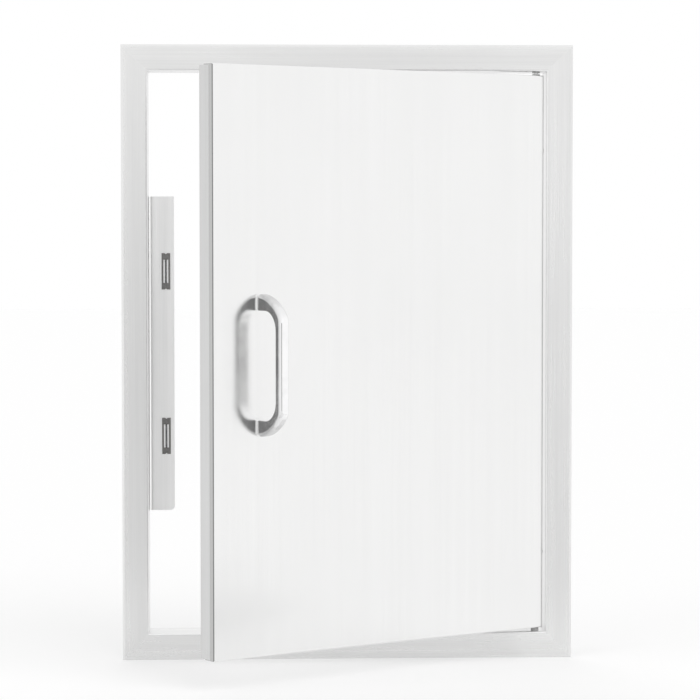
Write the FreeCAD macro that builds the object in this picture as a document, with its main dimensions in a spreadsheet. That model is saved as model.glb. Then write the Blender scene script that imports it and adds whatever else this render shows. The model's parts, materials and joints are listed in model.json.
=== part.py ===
import FreeCAD, Part
import math
import os
import re
import Sketcher
from FreeCAD import Placement, Rotation, Vector

# Access door for an outdoor kitchen island: a flanged stainless frame that sits in a cut-out of
# the island's wall, and a flush double-skinned door that turns on two pins at its right edge.
# X runs to the right, Y into the island and Z up. The origin is the centre of the opening, in
# the plane of the wall's face. The door stands open, as it is carried in behaviour at rest.

doc = FreeCAD.newDocument("AccessDoor")

SIZES = (
    ("opening_width", 431.8, "Clear width between the frame's return walls"),
    ("opening_height", 609.6, "Clear height between the frame's return walls"),
    ("flange_width", 28.6, "Width of the flange that covers the edge of the cut-out"),
    ("flange_standoff", 6.0, "How far the flange's face stands in front of the wall"),
    ("return_depth", 38.0, "How far the return walls reach behind the wall's face"),
    ("frame_sheet", 1.2, "Sheet thickness of the frame and the strike bracket"),
    ("flange_bend", 2.6, "Outer radius of the bend at the flange's outer edge"),
    ("opening_bend", 2.0, "Outer radius of the bend at the edge of the opening"),
    ("fixing_hole", 5.0, "Diameter of the fixing holes in the side walls"),
    ("fixing_spacing", 440.0, "Height between the two fixing holes of a side wall"),
    ("fixing_setback", 24.0, "Depth of the fixing holes behind the wall's face"),
    ("side_gap", 5.4, "Gap between the closed door and each side of the opening"),
    ("end_gap", 4.2, "Gap between the door and the top or bottom of the opening"),
    ("door_thickness", 27.0, "Thickness of the door over its two skins"),
    ("skin_sheet", 0.8, "Sheet thickness of the front skin"),
    ("skin_bend", 1.6, "Outer radius of the front skin's bends"),
    ("side_lip", 7.0, "Depth of the front skin's lips at the two sides"),
    ("end_lip", 16.0, "Depth of the front skin's lips at the top and bottom"),
    ("liner_sheet", 0.8, "Sheet thickness of the liner"),
    ("liner_bend", 1.3, "Outer radius of the liner's bends"),
    ("liner_setback", 1.0, "Gap between the liner's front edge and the front skin"),
    ("door_angle", 32.0, "How far the door stands open at rest, in degrees"),
    ("pivot_inset", 5.5, "Distance of the pin axis from the door's right edge"),
    ("pivot_depth", 7.0, "Distance of the pin axis behind the door's front face"),
    ("pin_diameter", 5.0, "Diameter of both pivot pins"),
    ("pin_clearance", 0.05, "Radial running clearance of a pin in its bush"),
    ("pin_reach", 5.0, "How far the upper pin reaches into the frame's top wall"),
    ("pin_travel", 8.0, "How far the upper pin pulls down to free the door"),
    ("pin_tail", 4.0, "How far the upper pin stands out of the lower ear"),
    ("bush_wall", 0.9, "Wall thickness of a pivot bush"),
    ("bush_flange", 1.35, "Thickness of a bush's flange"),
    ("bush_flange_width", 8.3, "Diameter of a bush's flange"),
    ("bush_length", 6.0, "Length of a frame bush past its flange"),
    ("washer_play", 0.1, "Gap between the thrust washer and the lower frame bush"),
    ("lower_pin_reach", 6.0, "How far the lower pin reaches below the opening"),
    ("block_height", 14.0, "Height of the block that holds the lower pin"),
    ("carrier_reach", 7.6, "Distance from the pin axis to the back of the carrier's web"),
    ("carrier_front", 5.0, "How far the pin carriers reach in front of the pin axis"),
    ("carrier_depth", 12.0, "Depth of the pin carriers, front to back"),
    ("bracket_height", 48.0, "Height of the upper pin's bracket"),
    ("bracket_sheet", 1.6, "Sheet thickness of the upper pin's bracket"),
    ("bracket_bend", 2.4, "Outer radius of that bracket's bends"),
    ("block_corner", 0.8, "Rounding of the lower pin's block"),
    ("clip_thickness", 0.8, "Thickness of a retaining clip"),
    ("clip_diameter", 7.0, "Outer diameter of a retaining clip"),
    ("clip_groove", 0.5, "Depth of a clip's groove in the pin"),
    ("clip_play", 0.1, "Gap between the stop clip and the upper ear"),
    ("spring_length", 30.0, "Length of the spring with the pin out"),
    ("spring_wire", 0.7, "Wire diameter of the spring"),
    ("spring_play", 0.12, "Gap between the pin and the inside of the spring"),
    ("knob_drop", 12.0, "Height of the knob's stem below the upper ear"),
    ("stem_diameter", 4.0, "Diameter of the knob's stem"),
    ("stem_play", 0.3, "Gap between the stem and each side of its slot"),
    ("stem_tip", 3.0, "Diameter of the stem's tip in the pin"),
    ("knob_diameter", 12.0, "Diameter of the release knob"),
    ("knob_collar", 10.4, "Diameter of the knob's collar and of its end"),
    ("knob_waist", 8.6, "Diameter of the knob's waist"),
    ("knob_length", 8.0, "Length of the release knob"),
    ("knob_band", 1.6, "Length of the knob's widest band"),
    ("knob_gap", 1.5, "Gap between the knob and the back of the door"),
    ("handle_centres", 128.0, "Distance between the handle's two screws"),
    ("handle_inset", 52.2, "Distance from the door's free edge to the handle"),
    ("handle_drop", 3.0, "How far the handle's middle lies below the door's"),
    ("handle_reach", 44.2, "How far the handle stands out from the door"),
    ("grip_width", 11.7, "Width of the handle, across the door"),
    ("grip_thickness", 9.3, "Thickness of the grip, out from the door"),
    ("post_height", 17.0, "Height of a handle post at the door"),
    ("post_bow", 53.0, "Radius of the bow of a post's outer side"),
    ("handle_outer_corner", 14.0, "Radius of the handle's outer corners"),
    ("handle_inner_corner", 20.0, "Radius of the handle's inner corners"),
    ("handle_outer_edge", 4.0, "Rounding of the handle's outer edges"),
    ("handle_inner_edge", 0.6, "Rounding of the handle's inner edges"),
    ("handle_foot_edge", 3.2, "Rounding of the handle's posts where they meet the door"),
    ("handle_screw", 4.0, "Diameter of a handle screw"),
    ("handle_screw_grip", 10.0, "How far a screw reaches into its handle post"),
    ("screw_play", 0.4, "Extra width of a screw's clearance hole"),
    ("screw_head", 8.0, "Diameter of a screw's head"),
    ("screw_head_height", 2.8, "Height of a screw's head"),
    ("screw_head_flat", 5.4, "Diameter of the flat on a screw's head"),
    ("recess_length", 4.0, "Length of each stroke of a screw's cross recess"),
    ("recess_width", 1.0, "Width of each stroke of a screw's cross recess"),
    ("recess_depth", 1.4, "Depth of a screw's cross recess"),
    ("handle_washer", 10.0, "Outer diameter of a handle washer"),
    ("handle_washer_sheet", 0.9, "Thickness of a handle washer"),
    ("stiffener_width", 40.0, "Width of the plate behind the handle"),
    ("stiffener_margin", 19.0, "How far that plate runs past each screw"),
    ("stiffener_sheet", 2.0, "Thickness of the plate behind the handle"),
    ("stiffener_corner", 4.0, "Corner radius of that plate"),
    ("access_hole", 16.0, "Diameter of the liner's holes to the screws"),
    ("plug_rim", 2.0, "How far a plug's cap covers the liner around its hole"),
    ("plug_cap", 1.2, "Thickness of a plug's cap"),
    ("plug_skirt", 5.0, "Length of a plug's skirt"),
    ("plug_wall", 1.1, "Wall thickness of a plug's skirt"),
    ("channel_crown", 40.0, "Width of the door channel's crown"),
    ("channel_foot", 14.0, "Width of each foot of the door channel"),
    ("channel_sheet", 0.8, "Sheet thickness of the door channel"),
    ("channel_margin", 22.0, "Gap between the channel and the door's ends"),
    ("strike_width", 18.0, "Width of a strike plate"),
    ("strike_height", 58.0, "Height of a strike plate"),
    ("strike_sheet", 1.5, "Thickness of a strike plate"),
    ("strike_corner", 3.0, "Corner radius of a strike plate"),
    ("strike_rivet", 3.2, "Diameter of a strike plate's rivet"),
    ("strike_rivet_inset", 5.0, "Distance of a rivet from the strike plate's end"),
    ("strike_bracket_width", 27.7, "Distance the strike bracket reaches into the opening"),
    ("strike_bracket_height", 343.0, "Height of the strike bracket"),
    ("strike_bracket_drop", 1.5, "How far the bracket's middle lies below the door's"),
    ("strike_bracket_bend", 3.7, "Outer radius of the strike bracket's bend"),
    ("strike_bracket_setback", 1.0, "Gap from the bracket's leg to the return wall's edge"),
    ("strike_bracket_upper_corner", 1.0, "Radius of the bracket's upper free corner"),
    ("strike_bracket_lower_corner", 5.0, "Radius of the bracket's lower free corner"),
    ("bracket_rivet", 3.2, "Diameter of a bracket rivet"),
    ("bracket_rivet_margin", 26.0, "Distance of the outer rivets from the bracket's ends"),
    ("catch_inset", 18.7, "Distance of the catches from the side of the opening"),
    ("catch_spacing", 180.0, "Height between the two catches"),
    ("catch_gap", 0.4, "Gap between a catch's poles and its strike plate"),
    ("catch_face_width", 9.3, "Width of a catch's face"),
    ("catch_face_height", 39.6, "Height of a catch's face"),
    ("catch_face_sheet", 1.6, "Thickness of a catch's face"),
    ("catch_notch_width", 2.6, "Width of the notch at each end of a catch's face"),
    ("catch_notch_depth", 1.3, "Depth of the notch at each end of a catch's face"),
    ("catch_body_width", 7.4, "Width of a catch's body"),
    ("catch_body_height", 34.0, "Height of a catch's body"),
    ("catch_body_depth", 12.5, "Depth of a catch's body behind the bracket's face"),
    ("catch_play", 0.1, "Gap around a catch's body in the bracket"),
    ("barb_height", 1.1, "How far a catch's barbs stand out from its body"),
    ("barb_width", 4.0, "Width of a catch's barbs"),
    ("barb_length", 5.0, "Length of a catch's barbs"),
    ("pole_thickness", 1.6, "Thickness of a pole plate"),
    ("pole_height", 25.3, "Height of a pole plate"),
    ("pole_depth", 12.0, "Depth of a pole plate"),
    ("pole_proud", 0.4, "How far the poles stand out of the catch's face"),
    ("magnet_thickness", 2.1, "Thickness of the magnet between the poles"),
    ("magnet_height", 23.5, "Height of the magnet"),
    ("magnet_setback", 1.6, "How far the magnet lies behind the pole faces"),
    ("pocket_play", 0.05, "Gap between the poles and their pocket"),
)

# How far a cutting outline runs past the metal that it cuts.
PAST = "5"
# The chamfer or rounding of a small turned or moulded piece.
SMALL_CHAMFER = "0.4"
# A blind rivet's proportions, as shares of its shank's diameter.
HEAD_HEIGHT = "0.3"
HEAD_RIM = "0.12"
HEAD_RADIUS = "0.94"
CROWN_RADIUS = "0.45"
TAIL_LENGTH = "0.6"
TAIL_RADIUS = "0.68"
# Two places nearer than this count as the same one.
SAME_PLACE = 0.0001
# The middle of an edge moves by less than this when other edges are rounded.
SAME_EDGE = 10 * SAME_PLACE

# Places that several pieces share, as expressions in the sizes above.
DOOR_WIDTH = "(opening_width - 2 * side_gap)"
DOOR_TOP = "(opening_height / 2 - end_gap)"
DOOR_RIGHT = "pivot_inset"
DOOR_LEFT = f"(pivot_inset - {DOOR_WIDTH})"
DOOR_FRONT = "(-pivot_depth)"
DOOR_BACK = "(door_thickness - pivot_depth)"
SKIN_BACK = "(skin_sheet - pivot_depth)"
LINER_LEFT = f"({DOOR_LEFT} + skin_sheet)"
LINER_RIGHT = "(pivot_inset - skin_sheet)"
LINER_TOP = f"({DOOR_TOP} - skin_sheet)"
LINER_FRONT = f"({SKIN_BACK} + liner_setback)"
CAVITY_LEFT = f"({LINER_LEFT} + liner_sheet)"
CAVITY_RIGHT = f"({LINER_RIGHT} - liner_sheet)"
CAVITY_TOP = f"({LINER_TOP} - liner_sheet)"
CAVITY_BACK = f"({DOOR_BACK} - liner_sheet)"
PIVOT_X = "(opening_width / 2 - side_gap - pivot_inset)"
PIVOT_Y = "(pivot_depth - flange_standoff)"
BORE_RADIUS = "(pin_diameter / 2 + pin_clearance)"
BUSH_RADIUS = f"({BORE_RADIUS} + bush_wall)"
EAR_UNDERSIDE = f"({CAVITY_TOP} - bracket_sheet)"
BRACKET_FOOT = f"({CAVITY_TOP} - bracket_height)"
SPRING_FOOT = f"({BRACKET_FOOT} + bracket_sheet)"
SPRING_TOP = f"({SPRING_FOOT} + spring_length)"
KNOB_HEIGHT = f"({EAR_UNDERSIDE} - knob_drop)"
HANDLE_LEFT = f"({DOOR_LEFT} + handle_inset)"
HANDLE_MIDDLE = f"({HANDLE_LEFT} + grip_width / 2)"
SCREW_SEAT = f"({SKIN_BACK} + stiffener_sheet + handle_washer_sheet)"
STRIKE_FACE = "(door_thickness + strike_sheet - flange_standoff)"
POLE_FACE = f"({STRIKE_FACE} + catch_gap)"
CATCH_FACE = f"({POLE_FACE} + pole_proud)"
BRACKET_FACE = f"({CATCH_FACE} + catch_face_sheet)"
BRACKET_LEG_END = "(return_depth - strike_bracket_setback)"
CATCH_X = "(catch_inset - opening_width / 2)"
CATCH_HEIGHTS = (
    ("upper", "(catch_spacing / 2 - strike_bracket_drop)"),
    ("lower", "(-catch_spacing / 2 - strike_bracket_drop)"),
)
STRIKE_X = f"({CATCH_X} - {PIVOT_X})"
SCREW_HEIGHTS = ("(handle_centres / 2 - handle_drop)", "(-handle_centres / 2 - handle_drop)")

sizes = doc.addObject("Spreadsheet::Sheet", "Sizes")
for row, (alias, value, meaning) in enumerate(SIZES, start=1):
    sizes.set(f"A{row}", meaning)
    sizes.set(f"B{row}", str(value))
    sizes.setAlias(f"B{row}", alias)
doc.recompute()

nodes = []


def bound(text):
    """Writes the names of sizes as references to the sheet's cells."""
    return re.sub(r"\b[a-z]+(?:_[a-z]+)+\b", lambda name: "Sizes." + name.group(), str(text))


def measure(text):
    """Works an expression out to a number, in millimetres or degrees."""
    return float(sizes.evalExpression(bound(text)))


def new_body(name):
    body = doc.addObject("PartDesign::Body", name)
    body.Label = name
    return body


def new_sketch(body, plane, level="0", origin=("0", "0")):
    """Starts a sketch parallel to one of the body's own planes. The level is the place of the
    sketch along X, Y or Z, and the origin moves its zero within the plane."""
    base = next(item for item in body.Origin.OriginFeatures if item.Role == plane + "_Plane")
    sketch = body.newObject("Sketcher::SketchObject", body.Label + "_sketch")
    sketch.AttachmentSupport = [(base, "")]
    sketch.MapMode = "FlatFace"
    sign = "-" if plane == "XZ" else ""
    sketch.setExpression("AttachmentOffset.Base.x", bound(origin[0]))
    sketch.setExpression("AttachmentOffset.Base.y", bound(origin[1]))
    sketch.setExpression("AttachmentOffset.Base.z", bound(f"{sign}({level})"))
    return sketch


def hold(sketch, item, point, x, y):
    """Holds one point of a sketch at its two distances from the sketch's origin."""
    for kind, place in (("DistanceX", x), ("DistanceY", y)):
        constraint = Sketcher.Constraint(kind, -1, 1, item, point, measure(place))
        number = sketch.addConstraint(constraint)
        sketch.setExpression(f"Constraints[{number}]", bound(place))


def add_outline(sketch, points):
    """Draws a closed outline of straight lines through the points."""
    places = [Vector(measure(x), measure(y), 0) for x, y in points]
    first = sketch.GeometryCount
    count = len(points)
    for index in range(count):
        line = Part.LineSegment(places[index], places[(index + 1) % count])
        sketch.addGeometry(line, False)
    for index in range(count):
        following = first + (index + 1) % count
        sketch.addConstraint(Sketcher.Constraint("Coincident", first + index, 2, following, 1))
    for index, (x, y) in enumerate(points):
        hold(sketch, first + index, 1, x, y)


def add_circle(sketch, x, y, diameter):
    centre = Vector(measure(x), measure(y), 0)
    circle = Part.Circle(centre, Vector(0, 0, 1), measure(diameter) / 2)
    item = sketch.addGeometry(circle, False)
    hold(sketch, item, 3, x, y)
    constraint = Sketcher.Constraint("Diameter", item, measure(diameter))
    number = sketch.addConstraint(constraint)
    sketch.setExpression(f"Constraints[{number}]", bound(diameter))


def box_outline(left, right, low, high):
    return [(left, low), (right, low), (right, high), (left, high)]


def pad(body, sketch, length, towards=1):
    """Raises a sketch along X, Y or Z, in the positive or the negative sense."""
    normal = -1 if body_plane(sketch) == "XZ" else 1
    feature = body.newObject("PartDesign::Pad", body.Label + "_pad")
    feature.Profile = sketch
    feature.setExpression("Length", bound(length))
    feature.Reversed = towards != normal
    doc.recompute()
    return feature


def pocket(body, sketch, length, towards=1):
    """Cuts a sketch into the body, and stops if it met no metal."""
    before = body.Shape.Volume
    normal = -1 if body_plane(sketch) == "XZ" else 1
    feature = body.newObject("PartDesign::Pocket", body.Label + "_pocket")
    feature.Profile = sketch
    feature.setExpression("Length", bound(length))
    feature.Reversed = towards == normal
    doc.recompute()
    if body.Shape.Volume >= before:
        raise ValueError(f"a pocket of {body.Label} cuts nothing")
    return feature


def body_plane(sketch):
    return sketch.AttachmentSupport[0][0].Role.split("_")[0]


def round_edges(body, radius, chosen):
    """Rounds the edges of the body that the test chooses."""
    doc.recompute()
    base = body.Tip
    names = [f"Edge{number}" for number, edge in enumerate(base.Shape.Edges, 1) if chosen(edge)]
    feature = body.newObject("PartDesign::Fillet", body.Label + "_fillet")
    feature.Base = (base, names)
    feature.setExpression("Radius", bound(radius))
    doc.recompute()
    return feature


def edge_along(axis, **places):
    """A test for straight edges that run along an axis and lie at the given places."""
    targets = {name: measure(place) for name, place in places.items()}

    def chosen(edge):
        if not isinstance(edge.Curve, (Part.Line, Part.LineSegment)):
            return False
        direction = edge.tangentAt(edge.FirstParameter)
        if abs(getattr(direction, axis)) < 1 - SAME_PLACE:
            return False
        middle = edge.CenterOfMass
        return all(abs(getattr(middle, name) - place) < SAME_PLACE for name, place in targets.items())

    return chosen


def edge_in_plane(axis, place):
    """A test for straight edges that lie wholly in a plane square to an axis."""
    target = measure(place)

    def chosen(edge):
        return all(abs(getattr(v.Point, axis) - target) < SAME_PLACE for v in edge.Vertexes)

    return chosen


def either(*tests):
    return lambda edge: any(test(edge) for test in tests)


def turned(name, axis, centre, profile):
    """Turns a profile of (distance along the axis, radius) points about an axis.
    The centre is the axis's place in the other two directions, in X, Y, Z order."""
    body = new_body(name)
    if axis == "z":
        sketch = new_sketch(body, "XZ", level=centre[1], origin=(centre[0], "0"))
        add_outline(sketch, [(radius, along) for along, radius in profile])
        reference = "V_Axis"
    elif axis == "y":
        sketch = new_sketch(body, "YZ", level=centre[0], origin=("0", centre[1]))
        add_outline(sketch, profile)
        reference = "H_Axis"
    else:
        sketch = new_sketch(body, "XZ", level=centre[0], origin=("0", centre[1]))
        add_outline(sketch, profile)
        reference = "H_Axis"
    feature = body.newObject("PartDesign::Revolution", name + "_turn")
    feature.Profile = sketch
    feature.ReferenceAxis = (sketch, [reference])
    feature.Angle = 360
    doc.recompute()
    return body


def group(name, members):
    """Puts identical small pieces in one node, as separate solids."""
    compound = doc.addObject("Part::Compound", name)
    compound.Label = name
    compound.Links = members
    return compound


def keep(piece, on_door=False):
    """Adds a finished piece to the model. A piece of the door was drawn about the pin axis, with
    the door closed, and is turned out with it here."""
    if on_door:
        piece.Placement = Placement(Vector(), Rotation(Vector(0, 0, 1), measure("door_angle")))
        piece.setExpression("Placement.Base.x", bound(PIVOT_X))
        piece.setExpression("Placement.Base.y", bound(PIVOT_Y))
        piece.setExpression("Placement.Rotation.Angle", bound("door_angle"))
    nodes.append(piece)
    return piece


def frame_member(name, turn, opening, half_span, holes=()):
    """One mitred side of the frame, bent from sheet: lip, flange and return wall. It is drawn
    with X outwards from the edge of the opening and Z along its length, then turned into place
    about Y. A hole is (depth, place along the member, diameter), in the return wall."""
    body = new_body(name)
    section = new_sketch(body, "XY", level=f"-({opening} / 2 + flange_width)")
    front = "-flange_standoff"
    inside = "frame_sheet - flange_standoff"
    add_outline(section, [
        ("flange_width", "0"),
        ("flange_width", front),
        ("0", front),
        ("0", "return_depth"),
        ("frame_sheet", "return_depth"),
        ("frame_sheet", inside),
        ("flange_width - frame_sheet", inside),
        ("flange_width - frame_sheet", "0"),
    ])
    pad(body, section, f"{opening} + 2 * flange_width")
    round_edges(body, "flange_bend", edge_along("z", x="flange_width", y=front))
    round_edges(body, "flange_bend - frame_sheet",
                edge_along("z", x="flange_width - frame_sheet", y=inside))
    round_edges(body, "opening_bend", edge_along("z", x="0", y=front))
    round_edges(body, "opening_bend - frame_sheet", edge_along("z", x="frame_sheet", y=inside))
    for sign in ("", "-"):
        mitre = new_sketch(body, "XZ", level=f"-flange_standoff - {PAST}")
        add_outline(mitre, [
            (f"-{PAST}", f"{sign}({opening} / 2 - {PAST})"),
            (f"flange_width + {PAST}", f"{sign}({opening} / 2 + flange_width + {PAST})"),
            (f"-{PAST}", f"{sign}({opening} / 2 + flange_width + {PAST})"),
        ])
        pocket(body, mitre, f"flange_standoff + return_depth + 2 * {PAST}")
    for depth, along, diameter in holes:
        drilling = new_sketch(body, "YZ")
        add_circle(drilling, depth, along, diameter)
        pocket(body, drilling, f"frame_sheet + {PAST}")
    body.Placement = Placement(Vector(), Rotation(Vector(0, 1, 0), turn))
    axis, sign = {0: ("x", ""), 180: ("x", "-"), -90: ("z", ""), 90: ("z", "-")}[turn]
    body.setExpression(f"Placement.Base.{axis}", bound(f"{sign}{half_span}"))
    return keep(body)


def frame_bush(name, sign):
    """A flanged bush in the top or bottom wall. Its flange faces the door."""
    wall = "opening_height / 2"
    bush = turned(name, "z", (PIVOT_X, PIVOT_Y), [
        (f"{sign}({wall} - bush_flange)", BORE_RADIUS),
        (f"{sign}({wall} - bush_flange)", "bush_flange_width / 2"),
        (f"{sign}({wall})", "bush_flange_width / 2"),
        (f"{sign}({wall})", BUSH_RADIUS),
        (f"{sign}({wall} + bush_length)", BUSH_RADIUS),
        (f"{sign}({wall} + bush_length)", BORE_RADIUS),
    ])
    return keep(bush)


def rivet(name, axis, centre, face, outward, diameter, grip):
    """A blind rivet with its head on the face. Outward is the sign of the head's side, and the
    grip is the thickness of the sheets that it holds."""
    inward = "-" if outward == "+" else "+"
    crown = f"{face} {outward} {diameter} * {HEAD_HEIGHT}"
    far_side = f"{face} {inward} ({grip})"
    return turned(name, axis, centre, [
        (crown, "0"),
        (crown, f"{diameter} * {CROWN_RADIUS}"),
        (f"{face} {outward} {diameter} * {HEAD_RIM}", f"{diameter} * {HEAD_RADIUS}"),
        (face, f"{diameter} * {HEAD_RADIUS}"),
        (face, f"{diameter} / 2"),
        (far_side, f"{diameter} / 2"),
        (far_side, f"{diameter} * {TAIL_RADIUS}"),
        (f"{far_side} {inward} {diameter} * {TAIL_LENGTH}", f"{diameter} * {TAIL_RADIUS}"),
        (f"{far_side} {inward} {diameter} * {TAIL_LENGTH}", "0"),
    ])


def strike_bracket():
    """An angle on the left wall. Its leg is riveted to the wall and its face carries the
    catches, just behind the closed door."""
    body = new_body("strike_bracket")
    wall = "(-opening_width / 2)"
    low = "(-strike_bracket_height / 2 - strike_bracket_drop)"
    high = "(strike_bracket_height / 2 - strike_bracket_drop)"
    section = new_sketch(body, "XY", level=low)
    add_outline(section, [
        (wall, BRACKET_LEG_END),
        (wall, BRACKET_FACE),
        (f"{wall} + strike_bracket_width", BRACKET_FACE),
        (f"{wall} + strike_bracket_width", f"{BRACKET_FACE} + frame_sheet"),
        (f"{wall} + frame_sheet", f"{BRACKET_FACE} + frame_sheet"),
        (f"{wall} + frame_sheet", BRACKET_LEG_END),
    ])
    pad(body, section, "strike_bracket_height")
    round_edges(body, "strike_bracket_bend", edge_along("z", x=wall, y=BRACKET_FACE))
    round_edges(body, "strike_bracket_bend - frame_sheet",
                edge_along("z", x=f"{wall} + frame_sheet", y=f"{BRACKET_FACE} + frame_sheet"))
    edge = f"{wall} + strike_bracket_width"
    round_edges(body, "strike_bracket_upper_corner", edge_along("y", x=edge, z=high))
    round_edges(body, "strike_bracket_lower_corner", edge_along("y", x=edge, z=low))
    windows = new_sketch(body, "XZ", level=BRACKET_FACE)
    half_width = "(catch_body_width / 2 + catch_play)"
    half_height = "(catch_body_height / 2 + catch_play)"
    for _, height in CATCH_HEIGHTS:
        add_outline(windows, box_outline(
            f"{CATCH_X} - {half_width}", f"{CATCH_X} + {half_width}",
            f"{height} - {half_height}", f"{height} + {half_height}"))
    pocket(body, windows, "frame_sheet")
    for depth, height in RIVET_PLACES:
        hole = new_sketch(body, "YZ", level=wall)
        add_circle(hole, depth, height, "bracket_rivet")
        pocket(body, hole, "frame_sheet")
    return keep(body)


RIVET_DEPTH = f"(({BRACKET_FACE} + frame_sheet + strike_bracket_bend + {BRACKET_LEG_END}) / 2)"
RIVET_REACH = "(strike_bracket_height / 2 - bracket_rivet_margin)"
RIVET_PLACES = (
    (RIVET_DEPTH, f"({RIVET_REACH} - strike_bracket_drop)"),
    (RIVET_DEPTH, "(-strike_bracket_drop)"),
    (RIVET_DEPTH, f"(-{RIVET_REACH} - strike_bracket_drop)"),
)


def bracket_rivets():
    members = []
    for number, (depth, height) in enumerate(RIVET_PLACES, 1):
        members.append(rivet(f"bracket_rivet_{number}", "x", (depth, height),
                             "(frame_sheet - opening_width / 2)", "+", "bracket_rivet",
                             "2 * frame_sheet"))
    return keep(group("bracket_rivets", members))


def catch_case(side, height):
    """The moulded case of a magnetic catch: a notched face on the bracket, a body through its
    window, two barbs behind the sheet, and a pocket for the poles and the magnet."""
    body = new_body(f"{side}_catch_case")
    left = f"{CATCH_X} - catch_face_width / 2"
    right = f"{CATCH_X} + catch_face_width / 2"
    low = f"{height} - catch_face_height / 2"
    high = f"{height} + catch_face_height / 2"
    face = new_sketch(body, "XZ", level=CATCH_FACE)
    add_outline(face, [
        (left, low),
        (f"{CATCH_X} - catch_notch_width / 2", low),
        (CATCH_X, f"{low} + catch_notch_depth"),
        (f"{CATCH_X} + catch_notch_width / 2", low),
        (right, low),
        (right, high),
        (f"{CATCH_X} + catch_notch_width / 2", high),
        (CATCH_X, f"{high} - catch_notch_depth"),
        (f"{CATCH_X} - catch_notch_width / 2", high),
        (left, high),
    ])
    pad(body, face, "catch_face_sheet")
    round_edges(body, SMALL_CHAMFER, edge_in_plane("y", CATCH_FACE))
    core = new_sketch(body, "XZ", level=BRACKET_FACE)
    add_outline(core, box_outline(
        f"{CATCH_X} - catch_body_width / 2", f"{CATCH_X} + catch_body_width / 2",
        f"{height} - catch_body_height / 2", f"{height} + catch_body_height / 2"))
    pad(body, core, "catch_body_depth")
    start = f"{BRACKET_FACE} + frame_sheet + catch_play"
    for sign in ("+", "-"):
        barb = new_sketch(body, "YZ", level=f"{CATCH_X} - barb_width / 2")
        root = f"{height} {sign} (catch_body_height / 2 - catch_play)"
        add_outline(barb, [
            (start, root),
            (start, f"{root} {sign} barb_height"),
            (f"{start} + barb_length", root),
        ])
        pad(body, barb, "barb_width")
    slot = new_sketch(body, "XZ", level=CATCH_FACE)
    half_slot = "(magnet_thickness / 2 + pole_thickness + pocket_play)"
    add_outline(slot, box_outline(
        f"{CATCH_X} - {half_slot}", f"{CATCH_X} + {half_slot}",
        f"{height} - pole_height / 2 - pocket_play", f"{height} + pole_height / 2 + pocket_play"))
    pocket(body, slot, "pole_depth - pole_proud")
    return keep(body)


def block(name, left, front, low, width, depth, height):
    """A plain rectangular piece between its left, front and low faces."""
    box = doc.addObject("Part::Box", name)
    box.Label = name
    for side, size in (("Length", width), ("Width", depth), ("Height", height)):
        box.setExpression(side, bound(size))
    for axis, place in (("x", left), ("y", front), ("z", low)):
        box.setExpression(f"Placement.Base.{axis}", bound(place))
    return box


def catch_poles(side, height):
    """Two steel plates, one on each side of the magnet, whose edges take hold of the strike."""
    low = f"{height} - pole_height / 2"
    lefts = (f"{CATCH_X} - magnet_thickness / 2 - pole_thickness",
             f"{CATCH_X} + magnet_thickness / 2")
    plates = [block(f"{side}_pole_{number}", left, POLE_FACE, low,
                    "pole_thickness", "pole_depth", "pole_height")
              for number, left in enumerate(lefts, 1)]
    return keep(group(f"{side}_catch_poles", plates))


def catch_magnet(side, height):
    magnet = block(f"{side}_catch_magnet", f"{CATCH_X} - magnet_thickness / 2",
                   f"{POLE_FACE} + magnet_setback", f"{height} - magnet_height / 2",
                   "magnet_thickness", "pole_depth - magnet_setback", "magnet_height")
    return keep(magnet)


def front_skin():
    """The door's outer skin, folded back over the liner on all four sides."""
    body = new_body("door_front_skin")
    face = new_sketch(body, "XZ", level=DOOR_FRONT)
    add_outline(face, box_outline(DOOR_LEFT, DOOR_RIGHT, f"-{DOOR_TOP}", DOOR_TOP))
    pad(body, face, "end_lip")
    round_edges(body, "skin_bend", edge_in_plane("y", DOOR_FRONT))
    hollow = new_sketch(body, "XZ", level=f"{DOOR_FRONT} + end_lip")
    add_outline(hollow, box_outline(LINER_LEFT, LINER_RIGHT, f"-{LINER_TOP}", LINER_TOP))
    pocket(body, hollow, "end_lip - skin_sheet", towards=-1)
    round_edges(body, "skin_bend - skin_sheet", edge_in_plane("y", SKIN_BACK))
    trim = new_sketch(body, "XZ", level=f"{DOOR_FRONT} + end_lip")
    add_outline(trim, box_outline(f"{DOOR_LEFT} - {PAST}", LINER_LEFT,
                                  f"-{LINER_TOP}", LINER_TOP))
    add_outline(trim, box_outline(LINER_RIGHT, f"{DOOR_RIGHT} + {PAST}",
                                  f"-{LINER_TOP}", LINER_TOP))
    pocket(body, trim, "end_lip - side_lip", towards=-1)
    screws = new_sketch(body, "XZ", level=DOOR_FRONT)
    for height in SCREW_HEIGHTS:
        add_circle(screws, HANDLE_MIDDLE, height, "handle_screw + screw_play")
    pocket(body, screws, "skin_sheet")
    pivot_holes(body, LINER_TOP, "skin_sheet")
    return keep(body, on_door=True)


def pivot_holes(body, level, sheet):
    """The upper hole takes the door's bush and the lower one passes the fixed pin."""
    upper = new_sketch(body, "XY", level=level)
    add_circle(upper, "0", "0", f"2 * {BUSH_RADIUS}")
    pocket(body, upper, sheet)
    lower = new_sketch(body, "XY", level=f"-{level}")
    add_circle(lower, "0", "0", "pin_diameter + screw_play")
    pocket(body, lower, sheet, towards=-1)


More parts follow.
